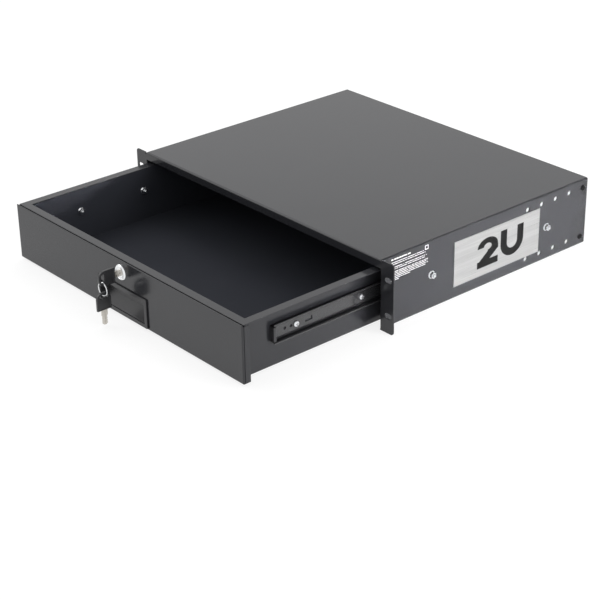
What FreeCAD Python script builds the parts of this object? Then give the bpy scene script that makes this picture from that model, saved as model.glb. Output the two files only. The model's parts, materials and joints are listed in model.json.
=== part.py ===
import FreeCAD, Part
import math
import os
import Sketcher

# Sliding rack drawer, two rack units tall: a folded steel housing with rack ears, a lockable
# drawer on ball-bearing slides, and its two keys on a ring.
# Millimetres. +X right, +Y into the rack, +Z up, seen from the front.
# The origin is the centre of the four ear slots, on the ears' rear (seating) face.
# The drawer is drawn open, with travel_left of its travel still to go.

doc = FreeCAD.newDocument("RackDrawer")
Vector = FreeCAD.Vector

DRIVING_SIZES = [
    # folded housing
    ("body_width", 442.0),
    ("body_height", 88.0),
    ("body_depth", 350.0),
    ("body_sheet", 1.5),
    ("body_bend", 2.4),
    ("mouth_bend", 1.35),
    ("bend_relief", 0.8),
    ("lip_height", 10.5),
    ("foot_flange", 11.0),
    ("foot_flange_setback", 26.0),
    # rack ears
    ("ear_reach", 20.3),
    ("ear_corner", 4.0),
    ("slot_inset", 8.75),
    ("slot_rise", 44.45),
    ("slot_length", 10.5),
    ("slot_width", 6.8),
    # rows of holes for rear brackets, in line with the rear panel's screws
    ("side_hole", 6.0),
    ("side_hole_pitch", 25.0),
    ("side_hole_rows", 65.2),
    ("side_hole_columns", 4),
    # rear panel
    ("rear_tab_length", 14.0),
    ("rear_tab_height", 17.0),
    ("rear_window_side", 20.0),
    ("rear_window_top", 20.0),
    ("rear_window_base", 6.5),
    ("rear_window_corner", 5.0),
    ("rear_screw_inset", 8.5),
    ("panel_screw", 4.0),
    ("panel_screw_head", 7.6),
    ("panel_screw_head_height", 1.8),
    ("panel_screw_taper", 0.8),
    ("panel_screw_reach", 3.0),
    # brushed plate on the right side, between the two bolts
    ("plate_front_gap", 37.0),
    ("plate_rear_gap", 13.0),
    ("plate_height", 57.8),
    ("plate_sheet", 0.6),
    # drawer
    ("travel_left", 26.5),
    ("drawer_sheet", 1.2),
    ("drawer_rear_room", 19.0),
    ("rim_drop", 3.5),
    ("rim_side_gap", 2.2),
    ("rim_rear", 8.0),
    ("rim_lip", 4.5),
    ("front_seam", 2.2),
    ("front_seam_depth", 4.5),
    ("front_side_gap", 0.5),
    ("front_top_gap", 3.2),
    ("front_foot_gap", 3.0),
    ("front_cavity", 12.0),
    ("front_return", 10.0),
    ("front_top_edge", 0.9),
    ("drawer_bend", 1.8),
    ("rim_bend", 0.9),
    # ball-bearing slides
    ("slide_space", 12.7),
    ("slide_height", 28.8),
    ("slide_sheet", 1.2),
    ("slide_depth", 6.4),
    ("ball", 2.9),
    ("race_clearance", 0.15),
    ("race_lip", 0.3),
    ("cabinet_slide_start", 48.0),
    ("cabinet_slide_rear_gap", 10.5),
    ("drawer_slide_setback", 48.5),
    ("drawer_slide_rear_gap", 5.0),
    ("slide_overlap", 52.5),
    ("stop_inset", 1.2),
    ("stop_rise", 5.4),
    ("stop_height", 3.0),
    ("cabinet_stop_reach", 1.5),
    ("drawer_stop_gap", 0.6),
    ("pilot_hole", 3.6),
    ("pilot_hole_first", 19.0),
    ("pilot_hole_pitch", 9.0),
    ("latch_slot_start", 48.5),
    ("latch_slot_length", 10.2),
    ("latch_slot_rise", 4.8),
    ("latch_slot_width", 1.9),
    ("cage_gap", 0.3),
    ("cage_sheet", 0.6),
    ("cage_foot", 5.0),
    ("cage_ball_hole", 1.5),
    ("balls_in_row", 5),
    ("cap_reach", 0.8),
    ("cap_plug", 3.0),
    # screws, bolts and nuts of the slides
    ("cabinet_bolt_inset", 30.0),
    ("cabinet_bolt_rear_inset", 63.5),
    ("drawer_screw_inset", 35.0),
    ("drawer_screw_rear_inset", 48.5),
    ("drawer_screw_count", 3),
    ("screw", 4.0),
    ("screw_hole", 4.4),
    ("screw_head", 7.6),
    ("screw_head_height", 2.4),
    ("screw_head_taper", 0.9),
    ("screw_socket", 2.4),
    ("screw_socket_depth", 1.2),
    ("screw_end", 1.8),
    ("nut_flats", 7.0),
    ("nut_height", 4.6),
    ("nut_flange", 10.0),
    ("nut_flange_height", 1.0),
    # recessed pull
    ("pull_width", 96.0),
    ("pull_height", 37.0),
    ("pull_foot", 1.6),
    ("pull_proud", 2.0),
    ("pull_rim", 5.0),
    ("pull_depth", 10.6),
    ("pull_wall", 1.2),
    ("pull_corner", 1.6),
    ("pull_back_height", 13.6),
    ("pull_clip", 1.0),
    ("pull_clip_gap", 0.3),
    ("pull_clip_height", 10.0),
    # cam lock
    ("lock_drop", 14.8),
    ("lock_flange", 19.5),
    ("lock_flange_height", 3.0),
    ("lock_barrel", 16.0),
    ("lock_hole_gap", 0.2),
    ("lock_thread_end", 0.5),
    ("lock_nut_flats", 21.0),
    ("lock_nut_height", 3.0),
    ("plug", 12.0),
    ("plug_gap", 0.08),
    ("plug_recess", 0.6),
    ("plug_tang", 6.0),
    ("cam_length", 22.0),
    ("cam_width", 12.0),
    ("cam_sheet", 1.6),
    ("cam_gap", 0.1),
    ("cam_screw", 3.0),
    ("cam_screw_head", 6.8),
    ("cam_screw_head_height", 2.0),
    ("cam_screw_head_taper", 0.8),
    ("cam_screw_socket", 3.0),
    ("cam_screw_socket_depth", 1.0),
    ("cam_screw_length", 6.0),
    ("wafer_count", 4),
    ("wafer_sheet", 0.8),
    ("wafer_pitch", 2.4),
    ("wafer_width", 5.0),
    ("wafer_gap", 0.1),
    ("strike_width", 24.0),
    ("strike_foot", 10.0),
    ("strike_drop", 10.5),
    ("strike_gap", 0.7),
    # keys and their ring
    ("key_sheet", 2.0),
    ("key_gap", 0.15),
    ("key_blade", 6.4),
    ("key_shoulder", 8.0),
    ("key_shoulder_length", 7.2),
    ("key_length", 19.0),
    ("key_inserted", 11.8),
    ("key_notch_count", 3),
    ("key_notch_first", 1.0),
    ("key_notch_pitch", 2.95),
    ("key_notch_width", 1.8),
    ("key_notch_depth", 1.1),
    ("key_notch_step", 0.33),
    ("key_tip_taper", 1.65),
    ("key_tip_width", 2.2),
    ("key_root", 8.0),
    ("bow_length", 22.0),
    ("bow_width", 19.0),
    ("bow_sheet", 3.0),
    ("bow_corner", 8.0),
    ("bow_edge", 0.7),
    ("bow_bar", 3.0),
    ("bow_slot", 4.0),
    ("bow_slot_length", 12.0),
    ("ring_wire", 1.5),
    ("ring_middle", 16.0),
    ("ring_clearance", 0.45),
]

sheet = doc.addObject("Spreadsheet::Sheet", "Sizes")
for row, (alias, number) in enumerate(DRIVING_SIZES, start=1):
    sheet.set("A%d" % row, alias)
    sheet.set("B%d" % row, str(number))
    sheet.setAlias("B%d" % row, alias)
doc.recompute()


class Size:
    """A length worked out from the sheet: its expression for FreeCAD, and its value now."""

    def __init__(self, text, value):
        self.text = text
        self.value = value

    def combine(self, sign, other, turned=False):
        other = other if isinstance(other, Size) else Size(repr(float(other)), float(other))
        left, right = (other, self) if turned else (self, other)
        results = {
            "+": lambda a, b: a + b,
            "-": lambda a, b: a - b,
            "*": lambda a, b: a * b,
            "/": lambda a, b: a / b,
        }
        return Size("(%s %s %s)" % (left.text, sign, right.text), results[sign](left.value, right.value))

    def __add__(self, other):
        return self.combine("+", other)

    def __radd__(self, other):
        return self.combine("+", other, True)

    def __sub__(self, other):
        return self.combine("-", other)

    def __rsub__(self, other):
        return self.combine("-", other, True)

    def __mul__(self, other):
        return self.combine("*", other)

    def __rmul__(self, other):
        return self.combine("*", other, True)

    def __truediv__(self, other):
        return self.combine("/", other)

    def __neg__(self):
        return self.combine("*", -1)

    def __float__(self):
        return float(self.value)


class Sheet:
    """Reads each driving size by its alias."""

    def __getattr__(self, alias):
        return Size("Sizes." + alias, float(sheet.get(alias)))


size = Sheet()
ZERO = Size("0", 0.0)


def as_size(value):
    return value if isinstance(value, Size) else Size(repr(float(value)), float(value))


def count_of(alias):
    return int(round(float(sheet.get(alias))))


# Levels and faces that several pieces share
body_half = size.body_width / 2
wall_inside = body_half - size.body_sheet
body_top = size.body_height / 2
body_base = -body_top
body_face = -size.body_sheet
body_rear = body_face + size.body_depth
roof = body_top - size.body_sheet
ear_half = body_half + size.ear_reach
slot_line = ear_half - size.slot_inset
rear_screw_line = body_rear - size.rear_screw_inset

drawer_depth = size.body_depth - size.drawer_rear_room
drawer_slide_length = drawer_depth - size.drawer_slide_setback - size.drawer_slide_rear_gap
travel = drawer_slide_length - size.slide_overlap
open_rest = travel - size.travel_left
tray_half = wall_inside - size.slide_space
front_face = body_face - open_rest
front_back = front_face + size.drawer_sheet
front_half = wall_inside - size.front_side_gap
front_top = body_top - size.lip_height - size.front_top_gap
front_base = body_base + size.front_foot_gap
lock_axis = front_top - size.lock_drop
tray_front = front_back + size.front_cavity
tray_front_inside = tray_front + size.drawer_sheet
tray_rear = front_face + drawer_depth
rim_top = body_top - size.lip_height - size.rim_drop
rim_half = wall_inside - size.rim_side_gap

race = size.ball / 2 + size.race_clearance
ball_rise = size.slide_height / 2 - size.slide_sheet - race
ball_reach = tray_half + size.slide_depth - size.slide_sheet - race
drawer_slide_start = front_face + size.drawer_slide_setback
drawer_slide_end = drawer_slide_start + drawer_slide_length
cabinet_slide_end = body_rear - size.cabinet_slide_rear_gap
cabinet_slide_length = cabinet_slide_end - size.cabinet_slide_start
cabinet_stop_back = size.cabinet_slide_start + size.stop_inset + size.slide_sheet
drawer_stop_face = drawer_slide_end - size.stop_inset - size.slide_sheet
cage_start = cabinet_stop_back + size.cage_gap + size.travel_left / 2
cage_length = drawer_stop_face - size.travel_left - cabinet_stop_back - 2 * size.cage_gap

lock_nut_back = tray_front_inside + size.lock_nut_height
barrel_end = lock_nut_back + size.lock_thread_end
cam_face = barrel_end + size.cam_gap
cam_back = cam_face + size.cam_sheet
plug_face = front_face - size.lock_flange_height + size.plug_recess
key_tip = plug_face + size.key_inserted
bow_face = key_tip - size.key_length
bow_end = bow_face - size.bow_length
bow_slot_line = bow_end + size.bow_bar + size.bow_slot / 2
bow_slot_foot = lock_axis - size.bow_slot_length / 2
ring_wire_top = bow_slot_foot + size.ring_clearance + size.ring_wire / 2
ring_height = ring_wire_top - size.ring_middle / 2
ring_wire_foot = ring_wire_top - size.ring_middle
spare_bow_top = ring_wire_foot + size.ring_wire / 2 + size.ring_clearance + size.bow_bar
spare_bow_base = spare_bow_top - size.bow_length

subparts = []


def evenly(first, last, count):
    """Places from first to last, evenly spaced."""
    return [first + (last - first) * (number / max(count - 1, 1)) for number in range(count)]


cabinet_bolt_lines = [size.cabinet_slide_start + size.cabinet_bolt_inset,
                      cabinet_slide_end - size.cabinet_bolt_rear_inset]
drawer_screw_lines = evenly(drawer_slide_start + size.drawer_screw_inset,
                            drawer_slide_end - size.drawer_screw_rear_inset, count_of("drawer_screw_count"))


def bind(feature, **sizes):
    """Ties a feature's properties to the sheet."""
    for name, value in sizes.items():
        feature.setExpression(name, as_size(value).text)


def place(feature, x=ZERO, y=ZERO, z=ZERO):
    for axis, value in zip("xyz", (x, y, z)):
        feature.setExpression("Placement.Base." + axis, as_size(value).text)


def keep(feature, label):
    """Names a finished sub-part. Its label is also its file's name."""
    feature.Label = label
    subparts.append(feature)


# Part primitives, each tied to the sheet

def block(name, low, high):
    """A box between two corners."""
    box = doc.addObject("Part::Box", name)
    low = [as_size(value) for value in low]
    high = [as_size(value) for value in high]
    bind(box, Length=high[0] - low[0], Width=high[1] - low[1], Height=high[2] - low[2])
    place(box, *low)
    return box


ALONG = {
    "x": FreeCAD.Rotation(Vector(0, 1, 0), 90),
    "-x": FreeCAD.Rotation(Vector(0, 1, 0), -90),
    "y": FreeCAD.Rotation(Vector(1, 0, 0), -90),
    "z": FreeCAD.Rotation(),
}


def rod(name, radius, length, start, along):
    """A round bar that starts at a point and runs along an axis."""
    bar = doc.addObject("Part::Cylinder", name)
    bar.Placement = FreeCAD.Placement(Vector(), ALONG[along])
    bind(bar, Radius=radius, Height=length)
    place(bar, *start)
    return bar


def taper(name, foot_radius, tip_radius, length, start, along):
    """A cone frustum that starts at a point and runs along an axis."""
    cone = doc.addObject("Part::Cone", name)
    cone.Placement = FreeCAD.Placement(Vector(), ALONG[along])
    bind(cone, Radius1=foot_radius, Radius2=tip_radius, Height=length)
    place(cone, *start)
    return cone


def hexagon(name, flats, length, start, along):
    """A hexagonal prism, measured across its flats."""
    prism = doc.addObject("Part::Prism", name)
    prism.Polygon = 6
    prism.Placement = FreeCAD.Placement(Vector(), ALONG[along])
    bind(prism, Circumradius=flats / 2 / math.cos(math.pi / 6), Height=length)
    place(prism, *start)
    return prism


def cut(name, base, tool):
    result = doc.addObject("Part::Cut", name)
    result.Base = base
    result.Tool = tool
    return result


def join(name, pieces):
    result = doc.addObject("Part::MultiFuse", name)
    result.Shapes = pieces
    result.Refine = True
    return result


def group(name, pieces):
    """Separate solids that share one sub-part."""
    result = doc.addObject("Part::Compound", name)
    result.Links = pieces
    return result


# Sketches of a PartDesign body

def origin_plane(body, role):
    return [feature for feature in body.Origin.OriginFeatures if feature.Role == role][0]


def new_sketch(body, name, plane, offset=ZERO):
    """A sketch on an origin plane. On XZ_Plane it looks along +Y, so its offset counts along -Y."""
    drawing = body.newObject("Sketcher::SketchObject", name)
    drawing.AttachmentSupport = (origin_plane(body, plane), "")
    drawing.MapMode = "FlatFace"
    shift = -offset if plane == "XZ_Plane" else offset
    drawing.setExpression("AttachmentOffset.Base.z", shift.text)
    return drawing


def fix(drawing, kind, geometry, point, value):
    number = drawing.addConstraint(Sketcher.Constraint(kind, -1, 1, geometry, point, value.value))
    drawing.setExpression("Constraints[%d]" % number, value.text)


def polygon(drawing, corners):
    """A closed outline of corners (u, v). A third value makes the side that leaves a corner a
    quarter arc, with its centre "level" with that corner or "upright" above or below it."""
    corners = [(as_size(corner[0]), as_size(corner[1])) + tuple(corner[2:]) for corner in corners]
    sides = []
    for index, corner in enumerate(corners):
        following = corners[(index + 1) % len(corners)]
        start = Vector(corner[0].value, corner[1].value, 0)
        end = Vector(following[0].value, following[1].value, 0)
        if len(corner) == 2:
            sides.append((drawing.addGeometry(Part.LineSegment(start, end), False), False))
            continue
        middle = Vector(end.x, start.y, 0) if corner[2] == "level" else Vector(start.x, end.y, 0)
        middle_to_start = math.atan2(start.y - middle.y, start.x - middle.x)
        middle_to_end = math.atan2(end.y - middle.y, end.x - middle.x)
        turn = (middle_to_end - middle_to_start + math.pi) % (2 * math.pi) - math.pi
        first, last = (middle_to_start, middle_to_end) if turn > 0 else (middle_to_end, middle_to_start)
        circle_of_arc = Part.Circle(middle, Vector(0, 0, 1), (start - middle).Length)
        arc = drawing.addGeometry(Part.ArcOfCircle(circle_of_arc, first, last), False)
        sides.append((arc, turn < 0))
    for index, (side, turned) in enumerate(sides):
        following, following_turned = sides[(index + 1) % len(sides)]
        drawing.addConstraint(Sketcher.Constraint(
            "Coincident", side, 1 if turned else 2, following, 2 if following_turned else 1))
    for index, corner in enumerate(corners):
        side, turned = sides[index]
        start_point = 2 if turned else 1
        fix(drawing, "DistanceX", side, start_point, corner[0])
        fix(drawing, "DistanceY", side, start_point, corner[1])
        if len(corner) == 3:
            level = corner[2] == "level"
            fix(drawing, "DistanceY" if level else "DistanceX", side, 3, corner[1] if level else corner[0])


def circle(drawing, u, v, diameter):
    u, v = as_size(u), as_size(v)
    ring = drawing.addGeometry(Part.Circle(Vector(u.value, v.value, 0), Vector(0, 0, 1), diameter.value / 2),
                               False)
    fix(drawing, "DistanceX", ring, 3, u)
    fix(drawing, "DistanceY", ring, 3, v)
    number = drawing.addConstraint(Sketcher.Constraint("Diameter", ring, diameter.value))
    drawing.setExpression("Constraints[%d]" % number, diameter.text)


def oblong(drawing, u, v, length, width, upright=False):
    """A slot with round ends about a centre."""
    u, v = as_size(u), as_size(v)
    half_run = (length - width) / 2
    radius = width / 2

    def point(along, across):
        return (u + across, v + along) if upright else (u + along, v - across)

    corners = [point(-half_run, -radius), point(half_run, -radius), point(half_run, radius),
               point(-half_run, radius)]
    centres = [point(half_run, ZERO), point(-half_run, ZERO)]
    spots = [Vector(corner[0].value, corner[1].value, 0) for corner in corners]
    lines = [drawing.addGeometry(Part.LineSegment(spots[0], spots[1]), False),
             drawing.addGeometry(Part.LineSegment(spots[2], spots[3]), False)]
    for line, first, second in ((lines[0], corners[0], corners[1]), (lines[1], corners[2], corners[3])):
        for point_number, corner in ((1, first), (2, second)):
            fix(drawing, "DistanceX", line, point_number, corner[0])
            fix(drawing, "DistanceY", line, point_number, corner[1])
    for number, centre in enumerate(centres):
        middle = Vector(centre[0].value, centre[1].value, 0)
        start, end = (spots[1], spots[2]) if number == 0 else (spots[3], spots[0])
        begin = math.atan2(start.y - middle.y, start.x - middle.x)
        round_end = Part.Circle(middle, Vector(0, 0, 1), radius.value)
        outward = math.atan2((start + end).y / 2 - v.value, (start + end).x / 2 - u.value)
        clockwise = math.sin(outward - begin) < 0
        first = begin - math.pi if clockwise else begin
        arc = drawing.addGeometry(Part.ArcOfCircle(round_end, first, first + math.pi), False)
        ends = (2, 1) if clockwise else (1, 2)
        drawing.addConstraint(Sketcher.Constraint("Coincident", lines[number], 2, arc, ends[0]))
        drawing.addConstraint(Sketcher.Constraint("Coincident", lines[1 - number], 1, arc, ends[1]))
        if upright:
            fix(drawing, "DistanceY", arc, 3, centre[1])
        else:
            fix(drawing, "DistanceX", arc, 3, centre[0])


def pad(body, drawing, length, forward=True):
    """Thickens a sketch. Forward is along +Y, +X or +Z, by the sketch's plane."""
    feature = body.newObject("PartDesign::Pad", drawing.Name + "Pad")
    feature.Profile = drawing
    along_normal = forward != drawing.AttachmentSupport[0][0].Role.startswith("XZ")
    feature.Reversed = not along_normal
    bind(feature, Length=length)
    doc.recompute()
    return feature


def pocket(body, drawing, length=None, forward=True):
    """Cuts a sketch to a depth, or through everything both ways."""
    before = body.Shape.Volume
    feature = body.newObject("PartDesign::Pocket", drawing.Name + "Pocket")
    feature.Profile = drawing
    if length is None:
        feature.Type = "ThroughAll"
        feature.SideType = "Symmetric"
    else:
        along_normal = forward != drawing.AttachmentSupport[0][0].Role.startswith("XZ")
        feature.Reversed = along_normal
        bind(feature, Length=length)
    doc.recompute()
    if body.Shape.Volume >= before:
        raise RuntimeError("%s cuts nothing" % feature.Name)
    return feature


def edges_where(shape, test):
    """Names of the straight or round edges whose middle and direction pass a test."""
    names = []
    for number, edge in enumerate(shape.Edges, start=1):
        middle = edge.valueAt((edge.FirstParameter + edge.LastParameter) / 2)
        start, end = edge.valueAt(edge.FirstParameter), edge.valueAt(edge.LastParameter)
        if test(middle, end - start, edge):
            names.append("Edge%d" % number)
    return names


def round_edges(body, name, radius, test):
    base = body.Tip
    names = edges_where(base.Shape, test)
    if not names:
        raise RuntimeError("%s finds no edge" % name)
    feature = body.newObject("PartDesign::Fillet", name)
    feature.Base = (base, names)
    bind(feature, Radius=radius)
    doc.recompute()
    if body.Shape.isNull() or not body.Shape.isValid() or "Invalid" in feature.State:
        raise RuntimeError("%s fails" % name)
    return feature


NEAR = 0.01


def near(value, wanted):
    return abs(value - float(wanted)) < NEAR


def runs_along(direction, axis):
    others = [value for name, value in zip("xyz", direction) if name != axis]
    return direction.Length > NEAR and all(abs(value) < NEAR for value in others)


def new_body(name):
    return doc.addObject("PartDesign::Body", name)


# Housing: one sheet folded into roof, two sides, two foot flanges, two ears and a front lip

housing = new_body("Housing")
section = new_sketch(housing, "HousingSection", "XZ_Plane", body_face)
flange_edge = body_half - size.foot_flange
polygon(section, [
    (-body_half, body_top), (body_half, body_top), (body_half, body_base), (flange_edge, body_base),
    (flange_edge, body_base + size.body_sheet), (wall_inside, body_base + size.body_sheet),
    (wall_inside, roof), (-wall_inside, roof), (-wall_inside, body_base + size.body_sheet),
    (-flange_edge, body_base + size.body_sheet), (-flange_edge, body_base), (-body_half, body_base)])
pad(housing, section, size.body_depth)

ears = new_sketch(housing, "Ears", "XZ_Plane", body_face)
for side in (-1, 1):
    polygon(ears, [(side * wall_inside, body_top), (side * ear_half, body_top),
                   (side * ear_half, body_base), (side * wall_inside, body_base)])
pad(housing, ears, size.body_sheet)

lip = new_sketch(housing, "FrontLip", "XZ_Plane", body_face)
polygon(lip, [(-wall_inside, body_top), (wall_inside, body_top), (wall_inside, body_top - size.lip_height),
              (-wall_inside, body_top - size.lip_height)])
pad(housing, lip, size.body_sheet)

reliefs = new_sketch(housing, "EarReliefs", "XZ_Plane", body_face)
relief_foot = body_top - size.body_bend - size.bend_relief / 2
for side in (-1, 1):
    polygon(reliefs, [(side * body_half, body_top), (side * (body_half + size.bend_relief), body_top),
                      (side * (body_half + size.bend_relief), relief_foot), (side * body_half, relief_foot)])
pocket(housing, reliefs, size.body_sheet)

slots = new_sketch(housing, "EarSlots", "XZ_Plane", body_face)
for side in (-1, 1):
    for level in (-1, 1):
        oblong(slots, side * slot_line, level * size.slot_rise / 2, size.slot_length, size.slot_width)
pocket(housing, slots, size.body_sheet)

side_holes = new_sketch(housing, "SideHoles", "YZ_Plane")
for level in (-1, 1):
    circle(side_holes, rear_screw_line, level * size.side_hole_rows / 2, size.panel_screw)
    for column in range(count_of("side_hole_columns")):
        circle(side_holes, rear_screw_line - (column + 1) * size.side_hole_pitch,
               level * size.side_hole_rows / 2, size.side_hole)
for bolt_line in cabinet_bolt_lines:
    circle(side_holes, bolt_line, 0, size.screw_hole)
pocket(housing, side_holes)

round_edges(housing, "EarCorners", size.ear_corner,
            lambda middle, run, edge: runs_along(run, "y") and near(abs(middle.x), ear_half))
round_edges(housing, "OuterBends", size.body_bend,
            lambda middle, run, edge: (runs_along(run, "y") and near(abs(middle.x), body_half)
                                       and near(abs(middle.z), body_top)
                                       and run.Length > float(size.body_depth) / 2)
            or (runs_along(run, "x") and near(middle.y, body_face) and near(middle.z, body_top)
                and run.Length > float(size.body_width) / 2))
round_edges(housing, "InnerBends", size.body_bend - size.body_sheet,
            lambda middle, run, edge: runs_along(run, "y") and near(abs(middle.x), wall_inside)
            and (near(middle.z, roof) or near(middle.z, body_base + size.body_sheet))
            and run.Length > float(size.body_depth) / 2)
round_edges(housing, "MouthBends", size.mouth_bend,
            lambda middle, run, edge: runs_along(run, "z") and near(abs(middle.x), wall_inside)
            and near(middle.y, body_face))
flange_ends = new_sketch(housing, "FlangeEnds", "XY_Plane", body_base)
for side in (-1, 1):
    polygon(flange_ends, [(side * flange_edge, body_face), (side * wall_inside, body_face),
                          (side * wall_inside, body_face + size.foot_flange_setback),
                          (side * flange_edge, body_face + size.foot_flange_setback)])
pocket(housing, flange_ends, size.body_bend, forward=True)
keep(housing, "housing_shell")

# Rear panel with four tabs folded forwards and a wide opening for cables, and its screws

rear = new_body("RearPanel")
rear_plate = new_sketch(rear, "RearPlate", "XZ_Plane", body_rear - size.body_sheet)
polygon(rear_plate, [(-wall_inside, roof), (wall_inside, roof), (wall_inside, body_base + size.body_sheet),
                     (-wall_inside, body_base + size.body_sheet)])
pad(rear, rear_plate, size.body_sheet)
rear_window = new_sketch(rear, "RearWindow", "XZ_Plane", body_rear - size.body_sheet)
window_half = wall_inside - size.rear_window_side
window_top = roof - size.rear_window_top
window_base = body_base + size.body_sheet + size.rear_window_base
polygon(rear_window, [(-window_half, window_top), (window_half, window_top), (window_half, window_base),
                      (-window_half, window_base)])
pocket(rear, rear_window, size.body_sheet)
rear_tabs = new_sketch(rear, "RearTabs", "XZ_Plane", body_rear - size.rear_tab_length)
for side in (-1, 1):
    for level in (-1, 1):
        tab_middle = level * size.side_hole_rows / 2
        polygon(rear_tabs, [(side * wall_inside, tab_middle + size.rear_tab_height / 2),
                            (side * (wall_inside - size.body_sheet), tab_middle + size.rear_tab_height / 2),
                            (side * (wall_inside - size.body_sheet), tab_middle - size.rear_tab_height / 2),
                            (side * wall_inside, tab_middle - size.rear_tab_height / 2)])
pad(rear, rear_tabs, size.rear_tab_length)
rear_threads = new_sketch(rear, "RearThreads", "YZ_Plane")
for level in (-1, 1):
    circle(rear_threads, rear_screw_line, level * size.side_hole_rows / 2, size.panel_screw)
pocket(rear, rear_threads)
round_edges(rear, "WindowCorners", size.rear_window_corner,
            lambda middle, run, edge: runs_along(run, "y") and near(abs(middle.x), window_half)
            and (near(middle.z, window_top) or near(middle.z, window_base)))
keep(rear, "rear_panel")

panel_screws = []
for side, along in ((-1, "x"), (1, "-x")):
    for level in (-1, 1):
        spot = (rear_screw_line, level * size.side_hole_rows / 2)
        head = taper("PanelScrewHead", size.panel_screw_head / 2 - size.panel_screw_taper,
                     size.panel_screw_head / 2, size.panel_screw_head_height,
                     (side * (body_half + size.panel_screw_head_height), *spot), along)
        shank = rod("PanelScrewShank", size.panel_screw / 2, 2 * size.body_sheet + size.panel_screw_reach,
                    (side * body_half, *spot), along)
        panel_screws.append(join("PanelScrew", [head, shank]))
keep(group("PanelScrews", panel_screws), "rear_panel_screws")

# Strike bracket under the roof: the lock's cam rises behind its leg when the drawer is shut

strike_back = cam_face + open_rest - size.strike_gap
strike_foot_plate = block("StrikeFoot",
                          (-size.strike_width / 2, strike_back - size.strike_foot, roof - size.body_sheet),
                          (size.strike_width / 2, strike_back, roof))
strike_leg = block("StrikeLeg",
                   (-size.strike_width / 2, strike_back - size.body_sheet, roof - size.strike_drop),
                   (size.strike_width / 2, strike_back, roof))
keep(join("Strike", [strike_foot_plate, strike_leg]), "strike_bracket")

# Brushed plate on the right side

plate_front = cabinet_bolt_lines[0] + size.plate_front_gap
plate_rear = cabinet_bolt_lines[1] - size.plate_rear_gap
keep(block("SizePlate", (body_half, plate_front, -size.plate_height / 2),
           (body_half + size.plate_sheet, plate_rear, size.plate_height / 2)),
     "size_plate")


# Ball-bearing slides. The cabinet member is an outer channel whose two lips curl over the balls,
# the drawer member an inner channel whose lips curl under them.

def slide_member(label, side, on_drawer):
    """A channel of sheet, with each flange ending in a quarter arc about the balls."""
    member = new_body(label)
    start = drawer_slide_start if on_drawer else size.cabinet_slide_start
    length = drawer_slide_length if on_drawer else cabinet_slide_length
    back = tray_half if on_drawer else wall_inside
    reach = 1 if on_drawer else -1
    outer = ball_rise - reach * (race + size.slide_sheet)
    inner = ball_rise - reach * race
    web_inside = back + reach * size.slide_sheet
    lip_reach = ball_reach + reach * race
    lip_outside = lip_reach + reach * size.slide_sheet
    lip_end = ball_rise + reach * size.race_lip
    section_of_member = new_sketch(member, label + "Section", "XZ_Plane", start)
    if not on_drawer:
        profile = [(back, -outer), (back, outer),
                   (ball_reach, outer, "upright"), (lip_outside, ball_rise),
                   (lip_outside, lip_end), (lip_reach, lip_end),
                   (lip_reach, ball_rise, "level"), (ball_reach, inner),
                   (web_inside, inner), (web_inside, -inner),
                   (ball_reach, -inner, "upright"), (lip_reach, -ball_rise),
                   (lip_reach, -lip_end), (lip_outside, -lip_end),
                   (lip_outside, -ball_rise, "level"), (ball_reach, -outer)]
    else:
        profile = [(back, -inner), (back, inner),
                   (ball_reach, inner, "upright"), (lip_reach, ball_rise),
                   (lip_reach, lip_end), (lip_outside, lip_end),
                   (lip_outside, ball_rise, "level"), (ball_reach, outer),
                   (web_inside, outer), (web_inside, -outer),
                   (ball_reach, -outer, "upright"), (lip_outside, -ball_rise),
                   (lip_outside, -lip_end), (lip_reach, -lip_end),
                   (lip_reach, -ball_rise, "level"), (ball_reach, -inner)]
    polygon(section_of_member, [(side * corner[0],) + corner[1:] for corner in profile])
    pad(member, section_of_member, length)

    # stops for the ball cage, pressed out of the web
    stops = new_sketch(member, label + "Stops", "XZ_Plane",
                       drawer_stop_face if on_drawer else cabinet_stop_back - size.slide_sheet)
    cabinet_web = wall_inside - size.slide_sheet
    stop_tip = cabinet_web - (size.drawer_stop_gap if on_drawer else size.cabinet_stop_reach)
    for level in (-1, 1):
        polygon(stops, [(side * web_inside, level * size.stop_rise),
                        (side * stop_tip, level * size.stop_rise),
                        (side * stop_tip, level * (size.stop_rise + size.stop_height)),
                        (side * web_inside, level * (size.stop_rise + size.stop_height))])
    pad(member, stops, size.slide_sheet)

    holes = new_sketch(member, label + "Holes", "YZ_Plane")
    if on_drawer:
        for screw_line in drawer_screw_lines:
            circle(holes, screw_line, 0, size.screw_hole)
        for number in range(2):
            circle(holes, start + size.pilot_hole_first + number * size.pilot_hole_pitch, 0, size.pilot_hole)
        slot_start = start + size.latch_slot_start
        slot_end = slot_start + size.latch_slot_length
        slot_foot = -size.latch_slot_rise / 2
        polygon(holes, [(slot_start, slot_foot), (slot_end, slot_foot), (slot_end, size.latch_slot_rise / 2),
                        (slot_end - size.latch_slot_width, size.latch_slot_rise / 2),
                        (slot_end - size.latch_slot_width, slot_foot + size.latch_slot_width),
                        (slot_start, slot_foot + size.latch_slot_width)])
    else:
        for bolt_line in cabinet_bolt_lines:
            circle(holes, bolt_line, 0, size.screw_hole)
    pocket(member, holes)
    return member


for side_name, side in (("left", -1), ("right", 1)):
    keep(slide_member(side_name.title() + "CabinetSlide", side, False), side_name + "_cabinet_slide")
for side_name, side in (("left", -1), ("right", 1)):
    keep(slide_member(side_name.title() + "DrawerSlide", side, True), side_name + "_drawer_slide")

# Plastic cap in the front end of each drawer member

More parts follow.
